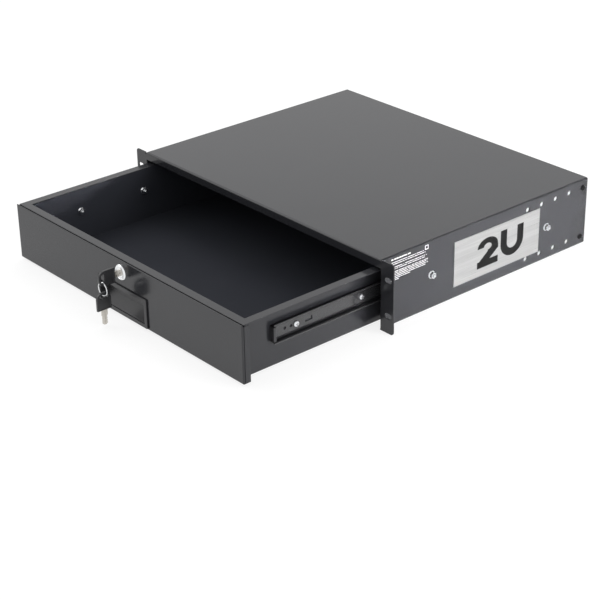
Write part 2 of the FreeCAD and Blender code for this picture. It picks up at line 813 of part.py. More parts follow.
for side_name, side in (("left", -1), ("right", 1)):
    cap_low = tray_half + size.slide_sheet
    cap_high = ball_reach + race + size.slide_sheet
    cap_half = ball_rise - race - size.slide_sheet
    near_face, far_face = (cap_low, cap_high) if side > 0 else (-cap_high, -cap_low)
    plug = block("CapPlug", (near_face, drawer_slide_start, -cap_half),
                 (far_face, drawer_slide_start + size.cap_plug, cap_half))
    outer_low, outer_high = (tray_half, cap_high) if side > 0 else (-cap_high, -tray_half)
    nose = block("CapNose", (outer_low, drawer_slide_start - size.cap_reach, -cap_half),
                 (outer_high, drawer_slide_start, cap_half))
    keep(join("SlideCap", [plug, nose]), side_name + "_slide_cap")

# Ball cages: two angle strips of each slide, with a hole for every ball

strip_outside = wall_inside - size.slide_sheet - size.cage_gap
strip_top = ball_rise + race - size.cage_gap
strip_reach = ball_reach - size.cage_ball_hole / 2
first_ball = cage_start + cage_length / (2 * size.balls_in_row)


def cage_bar(name, side, level, low_x, low_z):
    """A bar of the cage's full length, from its inner and lower faces, mirrored to its side and level."""
    across = (low_x, strip_outside) if side > 0 else (-strip_outside, -low_x)
    rise = (low_z, strip_top) if level > 0 else (-strip_top, -low_z)
    return block(name, (across[0], cage_start, rise[0]), (across[1], cage_start + cage_length, rise[1]))


for side_name, side in (("left", -1), ("right", 1)):
    strips = []
    balls = []
    for level in (-1, 1):
        leg = cage_bar("CageLeg", side, level, strip_outside - size.cage_sheet, size.cage_foot)
        arm = cage_bar("CageArm", side, level, strip_reach, strip_top - size.cage_sheet)
        angle = join("CageAngle", [leg, arm])
        drills = []
        for number in range(count_of("balls_in_row")):
            along_row = first_ball + number * cage_length / size.balls_in_row
            centre = (side * ball_reach, along_row, level * ball_rise)
            drills.append(rod("BallHole", size.cage_ball_hole, size.slide_height,
                              (centre[0], centre[1], -size.slide_height / 2), "z"))
            ball = doc.addObject("Part::Sphere", "Ball")
            bind(ball, Radius=size.ball / 2)
            place(ball, *centre)
            balls.append(ball)
        strips.append(cut("CageStrip", angle, group("BallHoles", drills)))
    keep(group("BallCage", strips), side_name + "_ball_cage")
    keep(group("Balls", balls), side_name + "_balls")


# Screws, bolts and nuts of the slides

def pan_screw(head_face, start_y, side, outward, length):
    """A pan-head screw along X. Its head stands on head_face and points outward."""
    towards = side * outward
    along = "x" if towards > 0 else "-x"
    back = "-x" if towards > 0 else "x"
    face = (side * head_face, start_y, ZERO)
    head = taper("ScrewHead", size.screw_head / 2, size.screw_head / 2 - size.screw_head_taper,
                 size.screw_head_height, face, along)
    socket_foot = head_face + outward * (size.screw_head_height - size.screw_socket_depth)
    recess = hexagon("ScrewSocket", size.screw_socket, size.screw_socket_depth,
                     (side * socket_foot, start_y, ZERO), along)
    shank = rod("ScrewShank", size.screw / 2, length, face, back)
    return cut("Screw", join("ScrewBlank", [head, shank]), recess)


def hex_nut(face_x, start_y, side, outward):
    towards = side * outward
    along = "x" if towards > 0 else "-x"
    face = (side * face_x, start_y, ZERO)
    flange = rod("NutFlange", size.nut_flange / 2, size.nut_flange_height, face, along)
    body = hexagon("NutBody", size.nut_flats, size.nut_height, face, along)
    bore = rod("NutBore", size.screw / 2, size.nut_height, face, along)
    return cut("Nut", join("NutBlank", [body, flange]), bore)


cabinet_bolts = []
cabinet_nuts = []
bolt_length = size.slide_sheet + size.body_sheet + size.nut_height + size.screw_end
for side in (-1, 1):
    for bolt_line in cabinet_bolt_lines:
        cabinet_bolts.append(pan_screw(wall_inside - size.slide_sheet, bolt_line, side, -1, bolt_length))
        cabinet_nuts.append(hex_nut(body_half, bolt_line, side, 1))
keep(group("CabinetBolts", cabinet_bolts), "cabinet_slide_bolts")
keep(group("CabinetNuts", cabinet_nuts), "cabinet_slide_nuts")

drawer_screws = []
drawer_nuts = []
screw_length = size.slide_sheet + size.drawer_sheet + size.nut_height + size.screw_end
for side in (-1, 1):
    for screw_line in drawer_screw_lines:
        drawer_screws.append(pan_screw(tray_half + size.slide_sheet, screw_line, side, 1, screw_length))
        drawer_nuts.append(hex_nut(tray_half - size.drawer_sheet, screw_line, side, -1))
keep(group("DrawerScrews", drawer_screws), "drawer_slide_screws")
keep(group("DrawerNuts", drawer_nuts), "drawer_slide_nuts")

# Drawer tray: a folded tub with a rim turned outwards all round

tray = new_body("Tray")
tub = new_sketch(tray, "Tub", "XY_Plane", front_base)
polygon(tub, [(-tray_half, tray_front), (tray_half, tray_front), (tray_half, tray_rear),
              (-tray_half, tray_rear)])
pad(tray, tub, rim_top - front_base)
rim = new_sketch(tray, "Rim", "XY_Plane", rim_top - size.drawer_sheet)
rim_front = front_back + size.front_seam
polygon(rim, [(-rim_half, rim_front), (rim_half, rim_front), (rim_half, tray_rear),
              (tray_half, tray_rear), (tray_half, tray_rear + size.rim_rear),
              (-tray_half, tray_rear + size.rim_rear), (-tray_half, tray_rear), (-rim_half, tray_rear)])
pad(tray, rim, size.drawer_sheet)
lip_half = front_half - size.drawer_sheet - size.front_side_gap
seam_foot = rim_top - size.front_seam_depth
rim_front_drop = new_sketch(tray, "RimFrontDrop", "XZ_Plane", rim_front)
polygon(rim_front_drop, [(-lip_half, rim_top), (lip_half, rim_top), (lip_half, seam_foot - size.drawer_sheet),
                         (-lip_half, seam_foot - size.drawer_sheet)])
pad(tray, rim_front_drop, size.drawer_sheet)
rim_front_lip = new_sketch(tray, "RimFrontLip", "XZ_Plane", front_back)
polygon(rim_front_lip, [(-lip_half, seam_foot), (lip_half, seam_foot), (lip_half, seam_foot - size.rim_lip),
                        (-lip_half, seam_foot - size.rim_lip)])
pad(tray, rim_front_lip, size.drawer_sheet)
rim_front_step = new_sketch(tray, "RimFrontStep", "XY_Plane", seam_foot - size.drawer_sheet)
polygon(rim_front_step, [(-lip_half, front_back), (lip_half, front_back), (lip_half, rim_front),
                         (-lip_half, rim_front)])
pad(tray, rim_front_step, size.drawer_sheet)
hollow = new_sketch(tray, "Hollow", "XY_Plane", rim_top)
polygon(hollow, [(-tray_half + size.drawer_sheet, tray_front_inside),
                 (tray_half - size.drawer_sheet, tray_front_inside),
                 (tray_half - size.drawer_sheet, tray_rear - size.drawer_sheet),
                 (-tray_half + size.drawer_sheet, tray_rear - size.drawer_sheet)])
pocket(tray, hollow, rim_top - front_base - size.drawer_sheet, forward=False)
lock_bore = new_sketch(tray, "LockBore", "XZ_Plane", front_back)
circle(lock_bore, 0, lock_axis, size.lock_barrel + 2 * size.lock_hole_gap)
pocket(tray, lock_bore, size.front_cavity + size.drawer_sheet)
tray_screw_holes = new_sketch(tray, "TrayScrewHoles", "YZ_Plane")
for screw_line in drawer_screw_lines:
    circle(tray_screw_holes, screw_line, 0, size.screw_hole)
pocket(tray, tray_screw_holes)
round_edges(tray, "RimFrontBend", size.rim_bend,
            lambda middle, run, edge: runs_along(run, "x") and near(middle.y, rim_front)
            and near(middle.z, rim_top))
round_edges(tray, "TubBends", size.drawer_bend,
            lambda middle, run, edge: near(middle.z, front_base))
round_edges(tray, "RimInnerBend", size.rim_bend,
            lambda middle, run, edge: near(middle.z, rim_top) and abs(middle.x) < float(tray_half)
            and float(tray_front) < middle.y < float(tray_rear))
keep(tray, "drawer_tray")

# Drawer front: a panel with side and foot returns, welded to the tray's front lip

front = new_body("Front")
front_plate = new_sketch(front, "FrontPlate", "XZ_Plane", front_face)
polygon(front_plate, [(-front_half, front_top), (front_half, front_top), (front_half, front_base),
                      (-front_half, front_base)])
pad(front, front_plate, size.drawer_sheet)
front_sides = new_sketch(front, "FrontSides", "XY_Plane", front_base)
return_back = front_face + size.front_return
for side in (-1, 1):
    polygon(front_sides, [(side * front_half, front_face), (side * front_half, return_back),
                          (side * (front_half - size.drawer_sheet), return_back),
                          (side * (front_half - size.drawer_sheet), front_face)])
pad(front, front_sides, rim_top - size.drawer_sheet - size.front_side_gap - front_base)
front_foot = new_sketch(front, "FrontFoot", "XY_Plane", front_base)
foot_half = front_half - size.drawer_sheet
polygon(front_foot, [(-foot_half, front_face), (foot_half, front_face), (foot_half, return_back),
                     (-foot_half, return_back)])
pad(front, front_foot, size.drawer_sheet)
front_openings = new_sketch(front, "FrontOpenings", "XZ_Plane", front_face)
circle(front_openings, 0, lock_axis, size.lock_barrel + 2 * size.lock_hole_gap)
pull_base = front_base + size.pull_foot
pull_top = pull_base + size.pull_height
cup_half = size.pull_width / 2 - size.pull_rim + size.pull_wall
cup_top = pull_top - size.pull_rim + size.pull_wall
cup_base = pull_base + size.pull_rim - size.pull_wall
polygon(front_openings, [(-cup_half, cup_top), (cup_half, cup_top), (cup_half, cup_base),
                         (-cup_half, cup_base)])
pocket(front, front_openings, size.drawer_sheet)
round_edges(front, "FrontSideBends", size.drawer_bend,
            lambda middle, run, edge: runs_along(run, "z") and near(middle.y, front_face)
            and near(abs(middle.x), front_half))
round_edges(front, "FrontFootBend", size.drawer_bend,
            lambda middle, run, edge: runs_along(run, "x") and near(middle.y, front_face)
            and near(middle.z, front_base))
round_edges(front, "FrontTopEdge", size.front_top_edge,
            lambda middle, run, edge: runs_along(run, "x") and near(middle.y, front_face)
            and near(middle.z, front_top))
keep(front, "drawer_front")

# Recessed pull: a proud frame, and a cup whose floor slopes down to its lower lip

pull = new_body("Pull")
pull_face = front_face - size.pull_proud
pull_back = front_face + size.pull_depth
pull_half = size.pull_width / 2
frame_plate = new_sketch(pull, "PullFrame", "XZ_Plane", pull_face)
polygon(frame_plate, [(-pull_half, pull_top), (pull_half, pull_top), (pull_half, pull_base),
                      (-pull_half, pull_base)])
pad(pull, frame_plate, size.pull_proud)
cup_shell = new_sketch(pull, "PullCup", "XZ_Plane", front_face)
polygon(cup_shell, [(-cup_half, cup_top), (cup_half, cup_top), (cup_half, cup_base), (-cup_half, cup_base)])
pad(pull, cup_shell, size.pull_depth)
finger_room = new_sketch(pull, "FingerRoom", "YZ_Plane", -cup_half + size.pull_wall)
finger_top = pull_top - size.pull_rim
finger_base = pull_base + size.pull_rim
finger_back = pull_back - size.pull_wall
polygon(finger_room, [(pull_face, finger_base), (pull_face, finger_top), (finger_back, finger_top),
                      (finger_back, finger_top - size.pull_back_height),
                      (front_face, finger_base)])
pocket(pull, finger_room, 2 * (cup_half - size.pull_wall))
clips = new_sketch(pull, "PullClips", "XZ_Plane", front_back + size.pull_clip_gap)
clip_middle = (cup_top + cup_base) / 2
for side in (-1, 1):
    polygon(clips, [(side * (cup_half - size.pull_wall), clip_middle + size.pull_clip_height / 2),
                    (side * (cup_half + size.pull_clip), clip_middle + size.pull_clip_height / 2),
                    (side * (cup_half + size.pull_clip), clip_middle - size.pull_clip_height / 2),
                    (side * (cup_half - size.pull_wall), clip_middle - size.pull_clip_height / 2)])
pad(pull, clips, 2 * size.pull_clip)
round_edges(pull, "PullCorners", size.pull_corner,
            lambda middle, run, edge: runs_along(run, "y") and near(abs(middle.x), pull_half)
            and (near(middle.z, pull_top) or near(middle.z, pull_base)))
keep(pull, "recess_pull")

# Cam lock: barrel, nut, and the plug that turns with its wafers, cam and screw

flange_disc = taper("LockFlange", size.lock_flange / 2 - size.plug_recess, size.lock_flange / 2,
                    size.plug_recess, (0, front_face - size.lock_flange_height, lock_axis), "y")
flange_foot = rod("LockFlangeFoot", size.lock_flange / 2, size.lock_flange_height - size.plug_recess,
                  (0, front_face - size.lock_flange_height + size.plug_recess, lock_axis), "y")
barrel = rod("LockBarrel", size.lock_barrel / 2, barrel_end - front_face, (0, front_face, lock_axis), "y")
plug_bore = rod("LockBore", size.plug / 2 + size.plug_gap, barrel_end - front_face + size.lock_flange_height,
                (0, front_face - size.lock_flange_height, lock_axis), "y")
keep(cut("LockBody", join("LockBlank", [flange_disc, flange_foot, barrel]), plug_bore), "lock_body")

lock_nut_blank = hexagon("LockNutBlank", size.lock_nut_flats, size.lock_nut_height,
                         (0, tray_front_inside, lock_axis), "y")
lock_nut_bore = rod("LockNutBore", size.lock_barrel / 2, size.lock_nut_height,
                    (0, tray_front_inside, lock_axis), "y")
keep(cut("LockNut", lock_nut_blank, lock_nut_bore), "lock_nut")

keyway_half = size.key_sheet / 2 + size.key_gap
keyway_rise = size.key_blade / 2 + size.key_gap
keyway_end = key_tip + 2 * size.key_gap + size.wafer_sheet
plug_round = rod("PlugRound", size.plug / 2, barrel_end - plug_face, (0, plug_face, lock_axis), "y")
plug_square = block("PlugTang", (-size.plug_tang / 2, barrel_end, lock_axis - size.plug_tang / 2),
                    (size.plug_tang / 2, cam_back, lock_axis + size.plug_tang / 2))
keyway = block("Keyway", (-keyway_half, plug_face, lock_axis - keyway_rise),
               (keyway_half, keyway_end, lock_axis + keyway_rise))
screw_well = rod("CamScrewWell", size.cam_screw / 2, size.cam_screw_length,
                 (0, cam_back - size.cam_screw_length, lock_axis), "y")
wafer_rise = math.sqrt(float(size.plug) ** 2 - float(size.wafer_width) ** 2) / 2 - float(size.wafer_gap)
wafer_slots = []
wafers = []
for number in range(count_of("wafer_count")):
    wafer_face = plug_face + size.wafer_pitch * (number + 0.5)
    wafer_back = wafer_face + size.wafer_sheet
    wafer_slots.append(block(
        "WaferSlot",
        (-size.wafer_width / 2 - size.wafer_gap, wafer_face - size.wafer_gap, lock_axis - size.plug / 2),
        (size.wafer_width / 2 + size.wafer_gap, wafer_back + size.wafer_gap, lock_axis + size.plug / 2)))
    wafer_blank = block("WaferBlank", (-size.wafer_width / 2, wafer_face, lock_axis - as_size(wafer_rise)),
                        (size.wafer_width / 2, wafer_back, lock_axis + as_size(wafer_rise)))
    wafer_window = block("WaferWindow", (-keyway_half, wafer_face, lock_axis - keyway_rise),
                         (keyway_half, wafer_back, lock_axis + keyway_rise))
    wafers.append(cut("Wafer", wafer_blank, wafer_window))
plug_blank = join("PlugBlank", [plug_round, plug_square])
plug_cuts = group("PlugCuts", [join("PlugOpenings", [keyway] + wafer_slots), screw_well])
keep(cut("LockPlug", plug_blank, plug_cuts), "lock_plug")
keep(group("LockWafers", wafers), "lock_wafers")

cam = new_body("Cam")
cam_outline = new_sketch(cam, "CamOutline", "XZ_Plane", cam_face)
oblong(cam_outline, (size.cam_length - size.cam_width / 2) / 2, lock_axis,
       size.cam_length + size.cam_width / 2, size.cam_width)
pad(cam, cam_outline, size.cam_sheet)
cam_square = new_sketch(cam, "CamSquare", "XZ_Plane", cam_face)
tang_half = size.plug_tang / 2
polygon(cam_square, [(-tang_half, lock_axis + tang_half), (tang_half, lock_axis + tang_half),
                     (tang_half, lock_axis - tang_half), (-tang_half, lock_axis - tang_half)])
pocket(cam, cam_square, size.cam_sheet)
keep(cam, "lock_cam")

cam_screw_head = taper("CamScrewHead", size.cam_screw_head / 2,
                       size.cam_screw_head / 2 - size.cam_screw_head_taper, size.cam_screw_head_height,
                       (0, cam_back, lock_axis), "y")
cam_screw_shank = rod("CamScrewShank", size.cam_screw / 2, size.cam_screw_length,
                      (0, cam_back - size.cam_screw_length, lock_axis), "y")
socket_floor = cam_back + size.cam_screw_head_height - size.cam_screw_socket_depth
cam_screw_socket = hexagon("CamScrewSocket", size.cam_screw_socket, size.cam_screw_socket_depth,
                           (0, socket_floor, lock_axis), "y")
keep(cut("CamScrew", join("CamScrewBlank", [cam_screw_head, cam_screw_shank]), cam_screw_socket), "cam_screw")


# Keys. Each is drawn in the YZ plane: along is the blade's way from the bow, across is square to it.

def key_pair(prefix, across_middle, along_of, blade_label, head_label):
    """One key: along_of turns a distance from the bow's inner edge into sketch coordinates."""
    half_blade = size.key_blade / 2
    half_shoulder = size.key_shoulder / 2

    blade = new_body(prefix + "Blade")
    blade_outline = new_sketch(blade, prefix + "BladeOutline", "YZ_Plane", -size.key_sheet / 2)
    upper = [(size.key_shoulder_length, half_blade)]
    for number in range(count_of("key_notch_count")):
        notch_start = size.key_shoulder_length + size.key_notch_first + number * size.key_notch_pitch
        depth = size.key_notch_depth - number * size.key_notch_step
        upper += [(notch_start, half_blade), (notch_start + size.key_notch_width / 2, half_blade - depth),
                  (notch_start + size.key_notch_width, half_blade)]
    tip = [(size.key_length - size.key_tip_taper, half_blade), (size.key_length, size.key_tip_width / 2),
           (size.key_length, -size.key_tip_width / 2), (size.key_length - size.key_tip_taper, -half_blade)]
    outline = ([(-size.key_root, half_shoulder), (size.key_shoulder_length, half_shoulder)] + upper + tip
               + [(size.key_shoulder_length, -half_blade), (size.key_shoulder_length, -half_shoulder),
                  (-size.key_root, -half_shoulder)])
    polygon(blade_outline, [along_of(along, across_middle, across) for along, across in outline])
    pad(blade, blade_outline, size.key_sheet)
    keep(blade, blade_label)

    head = new_body(prefix + "Head")
    half_bow = size.bow_width / 2
    corner = size.bow_corner
    head_outline = new_sketch(head, prefix + "HeadOutline", "YZ_Plane", -size.bow_sheet / 2)
    first_arc, second_arc = ("level", "upright") if prefix == "Key" else ("upright", "level")
    bow = [(ZERO, -half_bow), (ZERO, half_bow),
           (-size.bow_length + corner, half_bow), (-size.bow_length, half_bow - corner),
           (-size.bow_length, -half_bow + corner), (-size.bow_length + corner, -half_bow)]
    points = [along_of(along, across_middle, across) for along, across in bow]
    points[2] = points[2] + (second_arc,)
    points[4] = points[4] + (first_arc,)
    polygon(head_outline, points)
    pad(head, head_outline, size.bow_sheet)
    eye = new_sketch(head, prefix + "Eye", "YZ_Plane", -size.bow_sheet / 2)
    eye_centre = along_of(-size.bow_length + size.bow_bar + size.bow_slot / 2, across_middle, ZERO)
    oblong(eye, eye_centre[0], eye_centre[1], size.bow_slot_length, size.bow_slot, upright=prefix == "Key")
    pocket(head, eye, size.bow_sheet)
    round_edges(head, prefix + "HeadEdges", size.bow_edge,
                lambda middle, run, edge: near(abs(middle.x), size.bow_sheet / 2))
    root = new_sketch(head, prefix + "Root", "YZ_Plane", -size.key_sheet / 2)
    root_corners = [(ZERO, half_shoulder), (-size.key_root, half_shoulder), (-size.key_root, -half_shoulder),
                    (ZERO, -half_shoulder)]
    polygon(root, [along_of(along, across_middle, across) for along, across in root_corners])
    pocket(head, root, size.key_sheet)
    keep(head, head_label)


def level_key(along, middle, across):
    """The key in the lock points along +Y."""
    return (bow_face + along, middle + across)


def hanging_key(along, middle, across):
    """The spare key hangs from the ring, its blade pointing down."""
    return (middle + across, spare_bow_base - along)


key_pair("Key", lock_axis, level_key, "key_blade", "key_head")
key_pair("Spare", bow_slot_line, hanging_key, "spare_key_blade", "spare_key_head")

key_ring = doc.addObject("Part::Torus", "KeyRing")
key_ring.Placement = FreeCAD.Placement(Vector(), ALONG["y"])
bind(key_ring, Radius1=size.ring_middle / 2, Radius2=size.ring_wire / 2)
place(key_ring, ZERO, bow_slot_line, ring_height)
keep(key_ring, "key_ring")

doc.recompute()

# Nothing is written unless every feature is sound
for feature in doc.Objects:
    if "Invalid" in feature.State or "Error" in feature.State:
        raise RuntimeError("%s is in state %s" % (feature.Label, feature.State))
for feature in subparts:
    if feature.Shape.isNull() or not feature.Shape.isValid():
        raise RuntimeError("%s has no valid shape" % feature.Label)

os.makedirs("parts", exist_ok=True)
for feature in subparts:
    feature.Shape.exportStep(os.path.join("parts", feature.Label + ".step"))
    box = feature.Shape.BoundBox
    print("%-22s %2d solids  x %8.2f %8.2f  y %8.2f %8.2f  z %7.2f %7.2f  %9.1f mm3" % (
        feature.Label, len(feature.Shape.Solids), box.XMin, box.XMax, box.YMin, box.YMax, box.ZMin, box.ZMax,
        feature.Shape.Volume))
print("%d sub-parts" % len(subparts))
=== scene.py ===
import json
from math import cos, pi, radians, sin, sqrt

import bpy
from mathutils import Matrix, Vector


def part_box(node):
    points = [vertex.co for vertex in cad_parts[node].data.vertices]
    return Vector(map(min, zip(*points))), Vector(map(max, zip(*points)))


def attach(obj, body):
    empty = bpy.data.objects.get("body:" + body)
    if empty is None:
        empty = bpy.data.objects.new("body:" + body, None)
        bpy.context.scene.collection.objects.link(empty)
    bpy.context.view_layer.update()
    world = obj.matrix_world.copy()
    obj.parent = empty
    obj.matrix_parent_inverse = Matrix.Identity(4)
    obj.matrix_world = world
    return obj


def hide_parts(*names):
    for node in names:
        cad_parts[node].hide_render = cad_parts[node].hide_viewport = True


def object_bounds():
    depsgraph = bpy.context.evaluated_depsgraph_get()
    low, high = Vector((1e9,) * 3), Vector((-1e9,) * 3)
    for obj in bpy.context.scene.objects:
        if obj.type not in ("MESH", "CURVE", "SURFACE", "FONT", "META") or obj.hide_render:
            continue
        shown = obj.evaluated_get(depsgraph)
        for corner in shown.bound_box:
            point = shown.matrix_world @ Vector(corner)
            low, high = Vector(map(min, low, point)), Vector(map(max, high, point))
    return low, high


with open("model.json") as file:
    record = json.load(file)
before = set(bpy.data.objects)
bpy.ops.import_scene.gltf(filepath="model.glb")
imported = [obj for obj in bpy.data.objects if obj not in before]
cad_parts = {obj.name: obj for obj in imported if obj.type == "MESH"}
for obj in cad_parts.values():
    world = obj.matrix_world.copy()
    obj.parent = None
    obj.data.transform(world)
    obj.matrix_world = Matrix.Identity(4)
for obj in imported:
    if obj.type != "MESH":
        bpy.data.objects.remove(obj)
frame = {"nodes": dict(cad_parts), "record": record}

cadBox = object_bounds()
mm = 0.001


# Shader maths: a socket that takes part in Python expressions

class Wire:
    def __init__(self, tree, socket=None):
        self.tree = tree
        self.socket = socket

    def node(self, kind, settings=None, inputs=None, output=0):
        made = self.tree.nodes.new(kind)
        for name, value in (settings or {}).items():
            setattr(made, name, value)
        for name, value in (inputs or {}).items():
            if isinstance(value, Wire):
                self.tree.links.new(value.socket, made.inputs[name])
            else:
                made.inputs[name].default_value = value
        return Wire(self.tree, made.outputs[output] if made.outputs else None)

    def maths(self, operation, first, second=0.0):
        return self.node("ShaderNodeMath", {"operation": operation}, {0: first, 1: second})

    def __add__(self, other):
        return self.maths("ADD", self, other)

    def __sub__(self, other):
        return self.maths("SUBTRACT", self, other)

    def __rsub__(self, other):
        return self.maths("SUBTRACT", other, self)

    def __mul__(self, other):
        return self.maths("MULTIPLY", self, other)

    def __gt__(self, other):
        return self.maths("GREATER_THAN", self, other)

    def __lt__(self, other):
        return self.maths("LESS_THAN", self, other)

    def __abs__(self):
        return self.maths("ABSOLUTE", self)

    __radd__ = __add__
    __rmul__ = __mul__


def newMaterial(name):
    material = bpy.data.materials.new(name)
    material.use_nodes = True
    material.node_tree.nodes.clear()
    return material, Wire(material.node_tree)


def ownPlace(wire):  # Object coordinates
    return wire.node("ShaderNodeTexCoord", output=3)


def stretched(wire, scale):  # the same, with one way drawn out
    return wire.node("ShaderNodeMapping", None, {"Vector": ownPlace(wire), "Scale": scale})


def noise(wire, vector, scale, detail=3.0, roughness=0.5):
    return wire.node("ShaderNodeTexNoise", None,
                     {"Vector": vector, "Scale": scale, "Detail": detail, "Roughness": roughness})


def spread(wire, value, low, high):  # turns 0..1 noise, which stays near 0.5, into low..high
    return wire.node("ShaderNodeMapRange", {"clamp": True},
                     {"Value": value, "From Min": 0.3, "From Max": 0.7, "To Min": low, "To Max": high})


def blendColour(wire, factor, first, second):
    return wire.node("ShaderNodeMix", {"data_type": "RGBA"}, {0: factor, 6: first, 7: second}, 2)


def tint(colour, share=1.0):  # a colour as it is, darker or paler; share is one number or three
    shares = share if isinstance(share, tuple) else (share,) * 3
    return tuple(channel * part for channel, part in zip(colour, shares)) + (1.0,)


def bump(wire, height, strength, distance):
    return wire.node("ShaderNodeBump", None, {"Strength": strength, "Distance": distance, "Height": height})


def parts(wire, vector):  # a vector's three numbers
    split = wire.node("ShaderNodeSeparateXYZ", None, {"Vector": vector})
    return [Wire(wire.tree, socket) for socket in split.socket.node.outputs]


def surface(wire, sockets):
    shader = wire.node("ShaderNodeBsdfPrincipled", None, sockets)
    wire.node("ShaderNodeOutputMaterial", None, {"Surface": shader})


def within(value, low, high):  # 1 where value lies between low and high, in millimetres
    return (value > low * mm) * (value < high * mm)


def either(first, second):
    return first.maths("MAXIMUM", first, second)


# Powder coat: a slow change of shade, an orange peel, and fine grain on top of it
powderCoat = {
    "colour": (0.022, 0.0225, 0.0255), "colourLow": (0.02, 0.0205, 0.0235), "cloudSize": 18.0,
    "ior": 1.46, "roughLow": 0.14, "roughHigh": 0.19,
    "peelSize": 260.0, "peelStrength": 0.5, "peelDepth": 0.055 * mm,
    "grainSize": 1900.0, "grainStrength": 0.35, "grainDepth": 0.012 * mm,
    "print": (0.75, 0.75, 0.75, 1.0), "printCover": 0.72, "printRough": 0.25,
}
# Inside the drawer, a copy of the same coat stands in for its shade: little gloss, rougher, and a paler,
# bluer colour
tubShadeFinish = {"ior": 1.1, "duller": 0.4, "paler": (1.35, 1.4, 1.5)}


def makePowderCoat(name, marks=None, ior=powderCoat["ior"], duller=0.0, paler=1.0):
    coat = powderCoat
    material, wire = newMaterial(name)
    here = ownPlace(wire)
    cloud = noise(wire, here, coat["cloudSize"], 4.0)
    grain = noise(wire, here, coat["grainSize"], 2.0)
    peel = noise(wire, here, coat["peelSize"], 2.0)
    colour = blendColour(wire, spread(wire, cloud, 0.0, 1.0), tint(coat["colourLow"], paler),
                         tint(coat["colour"], paler))
    rough = spread(wire, cloud, coat["roughLow"] + duller, coat["roughHigh"] + duller)
    if marks:
        mask = marks(wire, here)
        colour = blendColour(wire, mask * coat["printCover"], colour, coat["print"])
        rough = rough + mask * coat["printRough"]
    peeled = bump(wire, peel, coat["peelStrength"], coat["peelDepth"])
    grained = wire.node("ShaderNodeBump", None, {"Height": grain, "Normal": peeled,
                                                 "Strength": coat["grainStrength"],
                                                 "Distance": coat["grainDepth"]})
    surface(wire, {"Base Color": colour, "Roughness": rough, "IOR": ior, "Normal": grained})
    return material


# A plain ruled field to write on, silk-screened in white beside the right ear.
# Each rule is its height, half its thickness and its length.
# The box in the corner is its left, right, base and top.
writeField = {
    "wall": 220.5, "start": 14.0,
    "rules": [(38.4, 0.8, 30.0), (34.6, 0.42, 52.0), (32.2, 0.42, 54.0), (28.5, 0.42, 56.0),
              (26.2, 0.42, 53.0), (22.8, 0.42, 58.0), (20.9, 0.42, 57.0), (18.8, 0.42, 58.0),
              (16.7, 0.42, 54.0), (14.6, 0.42, 30.0), (12.5, 0.42, 12.0)],
    "box": (67.0, 72.5, 34.6, 40.0), "boxLine": 0.9, "dash": 1.9, "dashShare": 0.4,
}


def fieldMarks(wire, here):
    x, y, z = parts(wire, here)
    total = None
    for height, half, length in writeField["rules"]:
        rule = within(z, height - half, height + half) * (y < (writeField["start"] + length) * mm)
        total = rule if total is None else total + rule
    speck = noise(wire, stretched(wire, (0.0, 1.0, 0.35)), 1000.0 / writeField["dash"], 1.0)
    dashes = speck > writeField["dashShare"]
    left, right, base, top = writeField["box"]
    line = writeField["boxLine"]
    outer = within(y, left, right) * within(z, base, top)
    inner = within(y, left + line, right - line) * within(z, base + line, top - line)
    ruled = total * dashes * (y > writeField["start"] * mm)
    return (x > writeField["wall"] * mm) * either(ruled, outer - inner)


# Slides: drawn strip, blacked. Their ball tracks take a near-black, duller copy, which paints the shade in
# the grooves
slideFinish = {"colour": (0.026, 0.026, 0.028), "ior": 1.66, "roughLow": 0.1, "roughHigh": 0.2}
racewayShadeFinish = {"colour": (0.008, 0.008, 0.009), "ior": 1.2, "roughLow": 0.3, "roughHigh": 0.45}
drawnLines = {"size": 900.0, "along": 0.02, "dim": 0.8, "strength": 0.2, "depth": 0.01 * mm,
              "cloudSize": 60.0}


def makeSlideSteel(name, finish):
    material, wire = newMaterial(name)
    drawn = noise(wire, stretched(wire, (1.0, drawnLines["along"], 1.0)), drawnLines["size"], 2.0)
    cloud = noise(wire, ownPlace(wire), drawnLines["cloudSize"], 3.0)
    colour = blendColour(wire, drawn, tint(finish["colour"], drawnLines["dim"]), tint(finish["colour"]))
    surface(wire, {"Base Color": colour, "IOR": finish["ior"],
                   "Roughness": spread(wire, cloud, finish["roughLow"], finish["roughHigh"]),
                   "Normal": bump(wire, drawn, drawnLines["strength"], drawnLines["depth"])})
    return material


# Bright and blacked metals: colour, roughness from and to, size of the clouds, depth of the fine texture
metals = {
    "brightZinc": ((0.84, 0.85, 0.87), 0.16, 0.27, 400.0, 0.006 * mm),
    "blackOxide": ((0.03, 0.03, 0.032), 0.3, 0.45, 400.0, 0.01 * mm),
    "polishedChrome": ((0.88, 0.89, 0.9), 0.05, 0.12, 300.0, 0.003 * mm),
    "keySteel": ((0.62, 0.59, 0.54), 0.25, 0.4, 350.0, 0.01 * mm),
    "bearingSteel": ((0.8, 0.8, 0.82), 0.05, 0.1, 300.0, 0.002 * mm),
    "cageSteel": ((0.6, 0.6, 0.6), 0.25, 0.4, 300.0, 0.01 * mm),
}
metalDim, metalFine, metalBump = 0.86, 8.0, 0.3


def makeMetal(name):
    colour, roughLow, roughHigh, size, depth = metals[name]
    material, wire = newMaterial(name)
    here = ownPlace(wire)
    cloud = noise(wire, here, size, 4.0)
    fine = noise(wire, here, size * metalFine, 2.0)
    shade = blendColour(wire, spread(wire, cloud, 0.0, 1.0), tint(colour, metalDim), tint(colour))
    rough = spread(wire, cloud, roughLow, roughHigh)
    surface(wire, {"Base Color": shade, "Metallic": 1.0, "Roughness": rough,
                   "Normal": bump(wire, fine, metalBump, depth)})
    return material


plastic = {"colour": (0.024, 0.024, 0.026), "colourLow": (0.019, 0.019, 0.021), "cloudSize": 40.0,
           "ior": 1.5, "roughLow": 0.3, "roughHigh": 0.4,
           "sparkSize": 2600.0, "sparkStrength": 0.4, "sparkDepth": 0.015 * mm}


